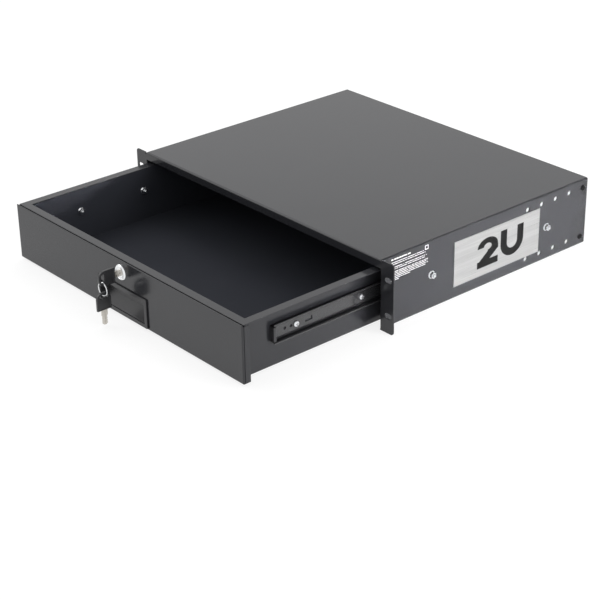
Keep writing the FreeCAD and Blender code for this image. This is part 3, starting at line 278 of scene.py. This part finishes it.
def makePlastic():
    material, wire = newMaterial("blackPlastic")
    here = ownPlace(wire)
    spark = noise(wire, here, plastic["sparkSize"], 2.0)
    cloud = noise(wire, here, plastic["cloudSize"], 3.0)
    colour = blendColour(wire, spread(wire, cloud, 0.0, 1.0), tint(plastic["colourLow"]),
                         tint(plastic["colour"]))
    surface(wire, {"Base Color": colour, "IOR": plastic["ior"],
                   "Roughness": spread(wire, cloud, plastic["roughLow"], plastic["roughHigh"]),
                   "Normal": bump(wire, spark, plastic["sparkStrength"], plastic["sparkDepth"])})
    return material


# The plate's size mark, two rack units, drawn from plain strokes:
# a numeral with a bowl, a slope and a foot, and a letter with a round cup and two walls
sizeMark = {
    "face": 221.3, "base": -18.5, "top": 19.2,
    "bowl": (171.3, 6.8), "bowlWide": 17.4, "bowlTall": 11.6, "bowlInner": 0.37, "bowlDrop": 7.5,
    "slope": ((185.2, 4.1), (161.2, -13.2)), "slopeHalf": 5.2, "foot": (153.7, 189.3), "footTall": 8.6,
    "cup": (213.2, 1.2), "cupWide": 19.9, "cupTall": 18.6, "bottom": 9.6, "wall": 11.0,
}


def ringDistance(y, z, centre, wide, tall):  # 1 on the ellipse with these half sizes
    across = (y - centre[0] * mm) * (1.0 / (wide * mm))
    upward = (z - centre[1] * mm) * (1.0 / (tall * mm))
    square = across * across + upward * upward
    return square.maths("SQRT", square)


def strokeMask(y, z, start, end, half):  # a straight band of the given half width between two points
    length = sqrt((end[0] - start[0]) ** 2 + (end[1] - start[1]) ** 2)
    acrossY, acrossZ = -(end[1] - start[1]) / length, (end[0] - start[0]) / length
    offset = (start[0] * acrossY + start[1] * acrossZ) * mm
    return abs(y * acrossY + z * acrossZ - offset) < half * mm


def markMask(wire, here):
    x, y, z = parts(wire, here)
    mark = sizeMark
    bowlY, bowlZ = mark["bowl"]
    bowl = ringDistance(y, z, mark["bowl"], mark["bowlWide"], mark["bowlTall"])
    bowlRing = (bowl < 1.0) * (bowl > mark["bowlInner"])
    upper = either(z > bowlZ * mm, (y > bowlY * mm) * (z > (bowlZ - mark["bowlDrop"]) * mm))
    start, end = mark["slope"]
    slope = strokeMask(y, z, start, end, mark["slopeHalf"])
    slope = slope * within(z, mark["base"], bowlZ - 1.0) * within(y, *mark["foot"])
    foot = within(y, *mark["foot"]) * within(z, mark["base"], mark["base"] + mark["footTall"])
    numeral = either(either(bowlRing * upper, slope), foot)
    cupY, cupZ = mark["cup"]
    wide, tall = mark["cupWide"], mark["cupTall"]
    outer = ringDistance(y, z, mark["cup"], wide, tall)
    inner = ringDistance(y, z, mark["cup"], wide - mark["wall"], tall - mark["bottom"])
    bottom = (z < cupZ * mm) * (outer < 1.0) * (inner > 1.0)
    reach = abs(y - cupY * mm)
    walls = within(z, cupZ - 0.01, mark["top"]) * (reach < wide * mm) * (reach > (wide - mark["wall"]) * mm)
    return either(numeral, either(bottom, walls)) * (x > mark["face"] * mm)


plateFinish = {
    "bright": (0.73, 0.73, 0.73), "dull": (0.49, 0.49, 0.49), "ink": (0.006, 0.006, 0.006), "inkIor": 1.15,
    "roughLow": 0.26, "roughHigh": 0.42, "inkRough": 0.1, "streakSize": 1400.0, "streakAlong": 0.012,
    "broadSize": 110.0, "broadAlong": 0.05, "strength": 0.25, "depth": 0.006 * mm,
}


def makePlate():
    plate = plateFinish
    material, wire = newMaterial("brushedPlate")
    streak = noise(wire, stretched(wire, (1.0, plate["streakAlong"], 1.0)), plate["streakSize"], 3.0, 0.6)
    broad = noise(wire, stretched(wire, (1.0, plate["broadAlong"], 1.0)), plate["broadSize"], 3.0)
    ink = markMask(wire, ownPlace(wire))
    brushed = spread(wire, streak * 0.5 + broad * 0.5, 0.0, 1.0)
    steel = blendColour(wire, brushed, tint(plate["dull"]), tint(plate["bright"]))
    rough = spread(wire, streak, plate["roughLow"], plate["roughHigh"]) + ink * plate["inkRough"]
    surface(wire, {"Base Color": blendColour(wire, ink, steel, tint(plate["ink"])), "IOR": plate["inkIor"],
                   "Metallic": 1.0 - ink, "Roughness": rough,
                   "Normal": bump(wire, streak, plate["strength"], plate["depth"])})
    return material


finishes = {
    "black_powder_coat": makePowderCoat("blackPowderCoat"),
    "black_slide_steel": makeSlideSteel("blackSlideSteel", slideFinish),
    "zinc_fastener": makeMetal("brightZinc"),
    "black_fastener": makeMetal("blackOxide"),
    "chrome_lock": makeMetal("polishedChrome"),
    "black_plastic": makePlastic(),
    "brushed_plate": makePlate(),
    "key_steel": makeMetal("keySteel"),
    "bearing_steel": makeMetal("bearingSteel"),
    "cage_steel": makeMetal("cageSteel"),
}
# near-black copy for the ball tracks: painted shade
racewayShadeSteel = makeSlideSteel("racewayShadeSteel", racewayShadeFinish)
housingCoat = makePowderCoat("housingCoat", fieldMarks)
# the copy of the coat that paints the drawer's inside shade
tubShadeCoat = makePowderCoat("tubShadeCoat", **tubShadeFinish)
slotOf = {row["node"]: row["material_slot"] for row in frame["record"]["subparts"]}
bodyOf = {node: body for body, nodes in frame["record"]["behaviour"]["bodies"].items() for node in nodes}


def dress(piece, material):
    piece.data.materials.clear()
    piece.data.materials.append(material)


for nodeName, cadNode in frame["nodes"].items():
    dress(cadNode, finishes[slotOf[nodeName]])
print("finishes on", len(frame["nodes"]), "nodes")


# Modelling by hand: choosing a piece, opening its mesh, closing it again
weld = 2e-6  # metres within which two vertices are one
tiny = 1e-5  # and within which two edges are in line


def choose(piece):
    if bpy.context.object and bpy.context.object.mode != "OBJECT":
        bpy.ops.object.mode_set(mode="OBJECT")
    bpy.ops.object.select_all(action="DESELECT")
    if piece:
        piece.select_set(True)
        bpy.context.view_layer.objects.active = piece


def openMesh(piece, everything=True):
    choose(piece)
    bpy.ops.object.mode_set(mode="EDIT")
    bpy.ops.mesh.select_all(action="SELECT" if everything else "DESELECT")


def settle(piece):
    choose(piece)
    bpy.ops.object.transform_apply(location=True, rotation=True, scale=True)


def withModifier(piece, kind, settings):
    choose(piece)
    modifier = piece.modifiers.new("step", kind)
    for name, value in settings.items():
        setattr(modifier, name, value)
    bpy.ops.object.modifier_apply(modifier=modifier.name)


def withCutter(piece, cutter, operation="DIFFERENCE"):
    withModifier(piece, "BOOLEAN", {"operation": operation, "solver": "EXACT", "object": cutter})
    bpy.data.objects.remove(cutter, do_unlink=True)


def block(name, low, high):
    choose(None)
    middle = [(a + b) * 0.5 * mm for a, b in zip(low, high)]
    size = [(b - a) * mm for a, b in zip(low, high)]
    bpy.ops.mesh.primitive_cube_add(size=1.0, location=middle, scale=size)
    bpy.context.object.name = name
    settle(bpy.context.object)
    return bpy.context.object


# Rounds the edges that run along X and start where the test holds
def roundEdges(piece, radius, steps, test):
    openMesh(piece, False)
    bpy.ops.mesh.select_mode(type="EDGE")
    bpy.ops.object.mode_set(mode="OBJECT")
    for edge in piece.data.edges:
        ends = [piece.data.vertices[number].co for number in edge.vertices]
        edge.select = abs(ends[0].x - ends[1].x) > tiny and test(ends[0])
    bpy.ops.object.mode_set(mode="EDIT")
    bpy.ops.mesh.bevel(offset=radius * mm, segments=steps, profile=0.5)
    choose(piece)


def turned(name, profile, steps, centre, axis):  # the profile runs as (radius, distance along the axis)
    along = Vector(axis)
    outward = Vector((0, 0, 1))
    spots = [Vector(centre) * mm + along * reach * mm + outward * radius * mm for radius, reach in profile]
    choose(None)
    bpy.ops.mesh.primitive_plane_add(size=mm, location=spots[0])
    piece = bpy.context.object
    piece.name = name
    openMesh(piece)
    bpy.ops.mesh.merge(type="CENTER")
    for before, after in zip(spots, spots[1:]):
        bpy.ops.mesh.extrude_region_move(TRANSFORM_OT_translate={"value": after - before})
    bpy.ops.mesh.select_all(action="SELECT")
    bpy.ops.mesh.spin(steps=steps, angle=2 * pi, center=Vector(centre) * mm, axis=along)
    bpy.ops.mesh.select_all(action="SELECT")
    bpy.ops.mesh.remove_doubles(threshold=weld)
    bpy.ops.mesh.normals_make_consistent(inside=False)
    settle(piece)
    return piece


def placed(source, name, matrix):  # a copy with its own mesh
    piece = bpy.data.objects.new(name, source.data.copy())
    piece.data.transform(matrix)
    bpy.context.collection.objects.link(piece)
    return piece


def remove(piece):
    bpy.data.objects.remove(piece, do_unlink=True)


madePieces = []


def handOver(piece, node, smooth=None, material=None):
    choose(piece)
    if smooth:
        bpy.ops.object.shade_smooth_by_angle(angle=radians(smooth))
    dress(piece, material or finishes[slotOf[node]])
    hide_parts(node)
    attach(piece, bodyOf[node])
    madePieces.append(piece)
    return piece


# Folded and pressed parts: the node's own shape, with its cut edges broken
flat, smoothUpTo = radians(0.6), radians(65.0)


def looseCopy(node, name):
    piece = bpy.data.objects.new(name, frame["nodes"][node].data.copy())
    bpy.context.collection.objects.link(piece)
    openMesh(piece)
    bpy.ops.mesh.customdata_custom_splitnormals_clear()
    bpy.ops.mesh.remove_doubles(threshold=weld)
    bpy.ops.mesh.dissolve_limited(angle_limit=flat)
    choose(piece)
    return piece


def breakEdges(piece, width, segments=2, steep=32.0, clamp=False):
    withModifier(piece, "BEVEL", {"width": width * mm, "segments": segments, "limit_method": "ANGLE",
                                  "angle_limit": radians(steep), "use_clamp_overlap": clamp})
    bpy.ops.object.shade_smooth_by_angle(angle=smoothUpTo)
    withModifier(piece, "WEIGHTED_NORMAL", {"keep_sharp": True, "weight": 90})


# Each node's piece, and the width of its broken edges in millimetres
sheetEdges = {
    "housing_shell": ("housingShell", 0.25),
    "rear_panel": ("rearPanel", 0.25),
    "drawer_tray": ("drawerTray", 0.25),
    "drawer_front": ("drawerFront", 0.25),
    "strike_bracket": ("strikeBracket", 0.25),
    "size_plate": ("sizePlate", 0.12),
    "left_cabinet_slide": ("leftOuterSlide", 0.2),
    "right_cabinet_slide": ("rightOuterSlide", 0.2),
    "left_drawer_slide": ("leftInnerSlide", 0.2),
    "right_drawer_slide": ("rightInnerSlide", 0.2),
    "lock_cam": ("lockCam", 0.2),
    "cam_screw": ("camScrew", 0.15),
    "lock_plug": ("lockPlug", 0.2),
    "left_slide_cap": ("leftSlideCap", 0.4),
    "right_slide_cap": ("rightSlideCap", 0.4),
}


def holdInside(piece, node):  # no corner of a broken edge stands outside the sheet's own box
    low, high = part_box(node)
    for vertex in piece.data.vertices:
        vertex.co = [min(max(value, low[way]), high[way]) for way, value in enumerate(vertex.co)]


# The front's side returns start behind a narrow pressed seam
seam = {"start": -198.9, "width": 1.8, "depth": 0.9, "edge": 219.0, "base": -41.5, "top": 31.0,
        "clear": 1.0}


def pressSeams(piece):
    reach = seam["start"] + seam["width"]
    for side in (-1, 1):
        near, far = sorted((side * (seam["edge"] - seam["depth"]), side * (seam["edge"] + seam["clear"])))
        withCutter(piece, block("seam", (near, seam["start"], seam["base"]), (far, reach, seam["top"])))


def makeSheets():
    for node, (name, width) in sheetEdges.items():
        piece = looseCopy(node, name)
        if node == "drawer_front":
            pressSeams(piece)
        breakEdges(piece, width)
        holdInside(piece, node)
        handOver(piece, node, material=housingCoat if node == "housing_shell" else None)
        print(name, len(piece.data.polygons), "faces")


makeSheets()

# The tub's inside faces take the copy of the coat that paints their shade
tub = {"side": 206.9, "front": -185.7, "rear": 139.0, "brim": 27.5,
       "slack": 0.1, "level": 0.5, "least": 1e-4}


def paintTubShade(piece):
    piece.data.materials.append(tubShadeCoat)
    for face in piece.data.polygons:
        x, y, z = (value / mm for value in face.center)
        nx, ny, nz = face.normal
        behind = y - tub["front"]  # behind the front wall's inside
        insideWall = abs(x) < tub["side"] and behind > -tub["slack"] and y < tub["rear"] and z < tub["brim"]
        facesIn = nz > tub["level"] or nx * x < -tub["least"] or ny * behind > tub["least"]
        if insideWall and facesIn:
            face.material_index = 1


paintTubShade(bpy.data.objects["drawerTray"])

# The drawer slides' ball tracks lie between the web and the lips' outer edges; they are painted near black,
# as shade in the grooves
track = {"start": 208.2, "lip": 212.8, "brim": 11.6, "edgeOn": 0.9}


def shadeTheTracks(piece):
    piece.data.materials.append(racewayShadeSteel)
    for face in piece.data.polygons:
        reach, height = abs(face.center.x) / mm, abs(face.center.z) / mm
        lipEdge = reach > track["lip"] and abs(face.normal.x) > track["edgeOn"]
        if reach > track["start"] and height < track["brim"] and not lipEdge:
            face.material_index = 1


for sliderName in ("leftInnerSlide", "rightInnerSlide"):
    shadeTheTracks(bpy.data.objects[sliderName])

# Recessed pull: moulded plastic, so its edges are rounder
pull = {"edge": 0.55, "segments": 3}


def makePull():
    piece = looseCopy("recess_pull", "recessPull")
    breakEdges(piece, pull["edge"], pull["segments"])
    handOver(piece, "recess_pull")


makePull()

# Hexagon nuts, made once at the origin with the axis along X, then copied; the small ones have a flange
smallNut = {"flats": 7.0, "height": 4.6, "bore": 4.0, "crown": 3.25, "flange": 5.0, "brim": 0.55}
bigNut = {"flats": 21.0, "height": 3.0, "bore": 16.0, "crown": 10.0, "flange": 0.0}
nutForm = {"slope": 0.5, "clear": 0.3, "under": 0.1, "rimEdge": 0.1, "brimEdge": 0.15, "flangeTop": 1.35,
           "tuck": 0.35, "lead": 0.4, "leadFrom": 0.3, "leadTo": 0.1, "past": 0.5,
           "edge": 0.12, "steep": 28.0, "steps": 40, "boreSteps": 32}
alongX = ((0, 0, 0), (1, 0, 0))


def flangeProfile(size, corner):
    wide, brim, form = size["flange"], size["brim"], nutForm
    return [(0, 0), (wide - form["rimEdge"], 0), (wide, form["rimEdge"]), (wide, brim),
            (wide - form["brimEdge"], brim + form["brimEdge"]), (corner - form["tuck"], form["flangeTop"]),
            (0, form["flangeTop"])]


def boreProfile(size):
    hole, high, past = size["bore"] / 2, size["height"], nutForm["past"]
    wide = hole + nutForm["lead"]  # the thread's countersunk lead
    return [(0, -past), (hole, -past), (hole, high - nutForm["leadFrom"]), (wide, high + nutForm["leadTo"]),
            (wide, high + past), (0, high + past)]


def makeNut(name, size):
    high, crown, corner = size["height"], size["crown"], size["flats"] / sqrt(3.0)
    wide = corner + nutForm["clear"]
    fall = (corner - crown + nutForm["clear"]) * nutForm["slope"]
    nut = turned(name, [(0, 0), (corner, 0), (corner, high), (0, high)], 6, *alongX)
    under = -nutForm["under"]
    coneProfile = [(0, under), (wide, under), (wide, high - fall), (crown, high), (0, high)]
    withCutter(nut, turned("nutCone", coneProfile, nutForm["steps"], *alongX), "INTERSECT")
    if size["flange"]:
        flange = turned("nutFlange", flangeProfile(size, corner), nutForm["steps"], *alongX)
        withCutter(nut, flange, "UNION")
    withCutter(nut, turned("nutBore", boreProfile(size), nutForm["boreSteps"], *alongX))
    breakEdges(nut, nutForm["edge"], 2, nutForm["steep"])
    return nut


# Pan-head screws with a cross recess: the head's top is at the origin and the shank runs along -X
slideScrew = {"head": 7.6, "headHigh": 2.4, "length": 11.2, "shank": 4.0, "thread": 6.6,
              "cross": 3.8, "deep": 1.3}
slideBolt = dict(slideScrew, length=11.5, thread=7.8)
panelScrew = dict(slideScrew, headHigh=1.8, length=7.8, thread=5.2, deep=1.0)
screwForm = {"dome": ((0.42, 0.04), (0.74, 0.26), (0.93, 0.72), (1.0, 1.25)), "underEdge": 0.1,
             "pitch": 0.6, "root": 0.26, "rootAt": 0.2, "crestAt": 0.5, "point": 0.4, "last": 0.7,
             "crossHalf": 0.42, "edge": 0.05, "steep": 50.0, "steps": 32}


def makeScrew(name, size):
    form = screwForm
    rim, half, high, end = size["head"] / 2, size["shank"] / 2, size["headHigh"], size["length"]
    profile = [(0, 0)] + [(rim * share, depth) for share, depth in form["dome"]]
    profile += [(rim, high - form["underEdge"]), (rim - form["underEdge"], high), (half, high)]
    turn = end - size["thread"]
    while turn < end - form["last"]:  # a thread's crests and roots
        profile += [(half - form["root"], turn + form["rootAt"]), (half, turn + form["crestAt"])]
        turn += form["pitch"]
    profile += [(half - form["point"], end), (0, end)]
    screw = turned(name, profile, form["steps"], (0, 0, 0), (-1, 0, 0))
    reach, thin, deep = size["cross"] / 2, form["crossHalf"], size["deep"]
    for wide, tall in ((thin, reach), (reach, thin)):
        withCutter(screw, block("cross", (-deep, -wide, -tall), (1.0, wide, tall)))
    breakEdges(screw, form["edge"], 1, form["steep"])
    return screw


# How far each row stands from the middle, where it lies along the drawer, and what it copies.
# A piece marked inward points its head or crown to the middle.
boltRows, drawerRows = (78.0, 274.5), (-116.5, -19.5, 77.5)
panelRow, panelRise = (340.0,), 32.6
fasteners = [
    {"name": "outerNut", "node": "cabinet_slide_nuts", "x": 221.0, "rows": boltRows, "inward": False},
    {"name": "tubNut", "node": "drawer_slide_nuts", "x": 205.6, "rows": drawerRows, "inward": True},
    {"name": "outerBolt", "node": "cabinet_slide_bolts", "x": 215.9, "rows": boltRows, "inward": True,
     "screw": slideBolt},
    {"name": "tubScrew", "node": "drawer_slide_screws", "x": 210.4, "rows": drawerRows, "inward": False,
     "screw": slideScrew},
    {"name": "panelScrew", "node": "rear_panel_screws", "x": 222.8, "rows": panelRow, "inward": False,
     "screw": panelScrew, "levels": (panelRise, -panelRise)},
]


def makeFasteners():
    for row in fasteners:
        source = makeScrew("screw", row["screw"]) if "screw" in row else makeNut("nut", smallNut)
        spots = [(side, y, z) for side in (1, -1) for y in row["rows"] for z in row.get("levels", (0,))]
        for number, (side, y, z) in enumerate(spots, start=1):
            turn = pi if (side > 0) == row["inward"] else 0.0
            spot = Matrix.Translation(Vector((side * row["x"], y, z)) * mm)
            piece = placed(source, "%s%d" % (row["name"], number), spot @ Matrix.Rotation(turn, 4, "Z"))
            handOver(piece, row["node"])
        remove(source)


makeFasteners()
print("nuts and screws")

# Cam lock: the barrel with its rolled flange and thread, and its nut
lock = {
    "axis": 15.5, "bore": 6.08, "barrel": 8.0, "flange": 9.75, "face": 203.0, "panel": 200.0, "end": 182.1,
    "pitch": 1.25, "root": 0.35, "lead": 0.4, "plain": 4.5, "runOut": 0.3, "steps": 64, "smooth": 28.0,
    "nutAt": -185.6,
    # the rolled rim: inwards from the flange's edge and behind the face; then the step down to the plug
    "roll": ((0.0, 1.9), (0.35, 1.3), (1.2, 0.45), (1.9, 0.08), (2.3, 0.0)),
    "step": ((7.05, 0.0), (6.9, 0.12), (6.8, 0.55), (6.5, 0.62)), "stepDeep": 0.62,
}


def makeLock():
    bore, barrel, flange = lock["bore"], lock["barrel"], lock["flange"]
    face, panel = lock["face"], lock["panel"]
    profile = [(bore, lock["end"]), (barrel - lock["root"], lock["end"])]
    turn = lock["end"] + lock["lead"]
    while turn < panel - lock["plain"]:
        profile += [(barrel, turn), (barrel - lock["root"], turn + lock["pitch"] / 2)]
        turn += lock["pitch"]
    profile += [(barrel, turn + lock["runOut"]), (barrel, panel), (flange, panel)]
    profile += [(flange - inward, face - depth) for inward, depth in lock["roll"]]
    profile += [(radius, face - depth) for radius, depth in lock["step"]]
    profile += [(bore, face - lock["stepDeep"]), (bore, lock["end"])]
    body = turned("lockBody", profile, lock["steps"], (0, 0, lock["axis"]), (0, -1, 0))
    handOver(body, "lock_body", lock["smooth"])
    nut = makeNut("lockNut", bigNut)
    spot = Matrix.Translation(Vector((0, lock["nutAt"], lock["axis"])) * mm)
    nut.data.transform(spot @ Matrix.Rotation(pi / 2, 4, "Z") @ Matrix.Rotation(pi / 6, 4, "X"))
    handOver(nut, "lock_nut")


makeLock()

# Keys: a moulded head with a raised border, and a milled blade
keys = {
    "border": 1.3, "headHalf": 1.5, "sink": 0.4, "clear": 2.2, "headEdge": 0.35, "headSteep": 50.0,
    "arch": 8.0, "archSteps": 14, "fieldArch": 1.6, "fieldSteps": 4,
    "bar": 3.0, "eye": 4.0, "eyeLong": 12.0, "eyeDeep": 2.5, "eyeFlat": 0.02, "eyeSteps": 8,
    "bladeHalf": 1.0, "groove": 0.55, "grooveDeep": 0.55, "grooveOut": 1.6, "grooveEnd": -209.0,
    "spareGrooveEnd": -24.0, "past": 1.0, "bladeEdge": 0.12, "bladeSteep": 40.0,
}


# A flat block whose two far corners are rounded: far is up for the hanging key, forward for the other
def arched(name, low, high, upright, radius, steps):
    piece = block(name, low, high)
    far = high[2] * mm if upright else low[1] * mm
    roundEdges(piece, radius, steps, lambda spot: abs((spot.z if upright else spot.y) - far) < tiny)
    return piece


def makeEye(low, high, level, slotMiddle):  # the rounded slot that the ring passes through
    spot = [0.0, (low[1] + high[1]) / 2, (low[2] + high[2]) / 2]
    spot[level] = slotMiddle
    half = [keys["eyeDeep"], keys["eyeLong"] / 2, keys["eyeLong"] / 2]
    half[level] = keys["eye"] / 2
    eye = block("eye", [a - b for a, b in zip(spot, half)], [a + b for a, b in zip(spot, half)])
    roundEdges(eye, keys["eye"] / 2 - keys["eyeFlat"], keys["eyeSteps"], lambda spot: True)
    return eye


def makeKeyHead(node, name, upright):
    low, high = ([value / mm for value in corner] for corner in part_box(node))
    border = keys["border"]
    piece = arched(name, low, high, upright, keys["arch"], keys["archSteps"])
    level = 2 if upright else 1  # the way to the arched end
    far = high[2] if upright else low[1]
    back = -1.0 if upright else 1.0
    slotMiddle = far + back * (keys["bar"] + keys["eye"] / 2)
    withCutter(piece, makeEye(low, high, level, slotMiddle))
    limit = slotMiddle + back * (keys["eye"] / 2 + border)
    for side in (-1, 1):  # the bare sunk field below the eye
        near, out = sorted((side * (keys["headHalf"] - keys["sink"]), side * keys["clear"]))
        fieldLow = [near, low[1] + border, low[2] + border]
        fieldHigh = [out, high[1] - border, high[2] - border]
        if upright:
            fieldHigh[2] = limit
        else:
            fieldLow[1] = limit
        field = arched("field", fieldLow, fieldHigh, upright, keys["fieldArch"], keys["fieldSteps"])
        withCutter(piece, field)
    breakEdges(piece, keys["headEdge"], 3, keys["headSteep"], True)
    handOver(piece, node)


def makeKeyBlade(node, name, groove):  # the groove's two corners in Y and Z
    piece = looseCopy(node, name)
    low, high = groove
    for side in (-1, 1):
        near, out = sorted((side * (keys["bladeHalf"] - keys["grooveDeep"]), side * keys["grooveOut"]))
        withCutter(piece, block("groove", (near, *low), (out, *high)))
    breakEdges(piece, keys["bladeEdge"], 1, keys["bladeSteep"])
    handOver(piece, node)


# The ring is a spring of two close coils
ring = {"centre": (0.0, -226.6, 2.7), "middle": 8.0, "wire": 0.25, "flat": 2.4, "coils": 1.94, "rise": 0.5,
        "round": 12, "steps": 150, "smooth": 50.0}


def makeRing():
    choose(None)
    climb = ring["rise"] * ring["coils"]
    spot = (Vector(ring["centre"]) + Vector((0, -climb / 2, -ring["middle"]))) * mm
    bpy.ops.mesh.primitive_circle_add(vertices=ring["round"], radius=ring["wire"] * mm, fill_type="NOTHING",
                                      location=spot, rotation=(0, pi / 2, 0))
    piece = bpy.context.object
    piece.name = "keyRing"
    openMesh(piece)
    bpy.ops.transform.resize(value=(1, 1, ring["flat"]))
    settle(piece)
    piece.data.transform(Matrix.Translation(-Vector(ring["centre"]) * mm))
    withModifier(piece, "SCREW", {"axis": "Y", "angle": 2 * pi * ring["coils"], "steps": ring["steps"],
                                  "render_steps": ring["steps"], "screw_offset": climb * mm,
                                  "use_normal_calculate": True})
    piece.data.transform(Matrix.Translation(Vector(ring["centre"]) * mm))
    openMesh(piece, False)
    bpy.ops.mesh.select_mode(type="EDGE")
    bpy.ops.mesh.select_non_manifold()
    bpy.ops.mesh.fill_holes(sides=0)
    bpy.ops.mesh.select_all(action="SELECT")
    bpy.ops.mesh.normals_make_consistent(inside=False)
    choose(piece)
    handOver(piece, "key_ring", ring["smooth"])


def makeKeys():
    half, past = keys["groove"], keys["past"]
    low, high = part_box("key_blade")
    middle = (low.z + high.z) / 2 / mm
    makeKeyHead("key_head", "keyHead", False)
    makeKeyBlade("key_blade", "keyBlade",
                 ((keys["grooveEnd"], middle - half), (high.y / mm + past, middle + half)))
    low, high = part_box("spare_key_blade")
    middle = (low.y + high.y) / 2 / mm
    makeKeyHead("spare_key_head", "spareKeyHead", True)
    makeKeyBlade("spare_key_blade", "spareKeyBlade",
                 ((middle - half, low.z / mm - past), (middle + half, keys["spareGrooveEnd"])))
    makeRing()


makeKeys()
corners = [len(face.vertices) for piece in madePieces for face in piece.data.polygons]
print("lock, keys and ring;", len(madePieces), "pieces,", sum(corners) - 2 * len(corners), "triangles")

# Camera at the photo's angle
shot = {"target": (80.7 * mm, -1.5 * mm, -57.9 * mm), "distance": 2.0083,
        "azimuth": 49.53, "elevation": 26.78, "roll": -0.94, "lens": 100.76, "sensor": 36.0}


def addCamera():
    azimuth, elevation, roll = radians(shot["azimuth"]), radians(shot["elevation"]), radians(shot["roll"])
    back = Vector((sin(azimuth) * cos(elevation), -cos(azimuth) * cos(elevation), sin(elevation)))
    right = Vector((cos(azimuth), sin(azimuth), 0.0))
    up = back.cross(right)
    rows = (cos(roll) * right + sin(roll) * up, cos(roll) * up - sin(roll) * right, back)
    bpy.ops.object.camera_add()
    camera = bpy.context.object
    camera.data.sensor_width = shot["sensor"]
    camera.data.lens = shot["lens"]
    spot = Vector(shot["target"]) + back * shot["distance"]
    camera.matrix_world = Matrix.Translation(spot) @ Matrix(rows).transposed().to_4x4()
    bpy.context.scene.camera = camera


addCamera()

# Floor, sky and lamps
studio = {"floorHalf": 6.0, "floorRim": 96, "floorColour": 0.9, "shownColour": 0.2, "shownGlow": 0.82,
          "sky": 0.85, "flag": (0.45, 0.58, 0.68), "flagEdge": 0.86, "flagHeart": 0.96, "flagDepth": 0.8}
white = (1.0, 1.0, 1.0, 1.0)


def rayKinds(wire, *kinds):  # 1 for each kind of ray that is asked for
    path = wire.node("ShaderNodeLightPath").socket.node
    return [Wire(wire.tree, path.outputs["Is %s Ray" % kind]) for kind in kinds]


def seenDirectly(wire):  # 1 for the camera, and for what metal and gloss show
    camera, glossy, through = rayKinds(wire, "Camera", "Glossy", "Transmission")
    return either(either(camera, glossy), through)


def addFloor():
    bpy.ops.mesh.primitive_circle_add(vertices=studio["floorRim"], radius=studio["floorHalf"],
                                      fill_type="NGON", location=(0, 0, cadBox[0].z))
    floor = bpy.context.object
    floor.name = "floor"
    material, wire = newMaterial("paleFloor")
    diffuse = wire.node("ShaderNodeBsdfDiffuse", None, {"Color": tint(white[:3], studio["floorColour"])})
    shadowed = wire.node("ShaderNodeBsdfDiffuse", None, {"Color": tint(white[:3], studio["shownColour"])})
    glow = wire.node("ShaderNodeEmission", None, {"Color": white, "Strength": studio["shownGlow"]})
    both = wire.node("ShaderNodeAddShader", None, {0: shadowed, 1: glow})
    mixed = wire.node("ShaderNodeMixShader", None, {0: seenDirectly(wire), 1: diffuse, 2: both})
    wire.node("ShaderNodeOutputMaterial", None, {"Surface": mixed})
    dress(floor, material)


def addSky():
    world = bpy.data.worlds.new("studio")
    world.use_nodes = True
    world.node_tree.nodes.clear()
    bpy.context.scene.world = world
    wire = Wire(world.node_tree)
    x, y, z = parts(wire, ownPlace(wire))  # a world's own place is the way it is looked at
    way = Vector(studio["flag"]).normalized()
    near = wire.node("ShaderNodeMapRange", {"clamp": True, "interpolation_type": "SMOOTHSTEP"},
                     {"Value": x * way.x + y * way.y + z * way.z, "From Min": studio["flagEdge"],
                      "From Max": studio["flagHeart"], "To Min": 0.0, "To Max": studio["flagDepth"]})
    [glossy] = rayKinds(wire, "Glossy")
    strength = seenDirectly(wire) * (1.0 - studio["sky"]) + studio["sky"]
    strength = strength - near * glossy  # a black flag, in gloss
    sky = wire.node("ShaderNodeBackground", None, {"Color": white, "Strength": strength})
    wire.node("ShaderNodeOutputWorld", None, {"Surface": sky})


# Softboxes: the grid one's narrow spread lights the housing's side more than the drawer's
lamps = {
    "keyLamp": {"place": (-0.9, 0.6, 2.2), "size": 1.6, "power": 14.0},
    "fillLamp": {"place": (2.2, 0.8, 0.6), "size": 1.4, "power": 34.0, "mirrored": False},
    "rimLamp": {"place": (-1.7, -1.13, 1.45), "size": 1.4, "power": 9.0},
    "gridLamp": {"place": (2.1, 1.0, 0.2), "size": 0.35, "power": 1.25, "mirrored": False,
                 "aim": (0.22, 0.2, 0), "spread": 14.0},
}
middleOfPart = (0, 0.05, 0)


def addLamps():
    for name, lampSet in lamps.items():
        bpy.ops.object.light_add(type="AREA", location=lampSet["place"])
        lamp = bpy.context.object
        lamp.name = name
        lamp.data.size = lampSet["size"]
        lamp.data.energy = lampSet["power"]
        lamp.data.spread = radians(lampSet.get("spread", 180.0))
        lamp.visible_glossy = lampSet.get("mirrored", True)
        lamp.visible_camera = False
        way = Vector(lampSet.get("aim", middleOfPart)) - Vector(lampSet["place"])
        lamp.rotation_euler = way.to_track_quat("-Z", "Y").to_euler()


addFloor()
addSky()
addLamps()
bpy.context.scene.view_settings.view_transform = "Standard"
print("camera and lamps")
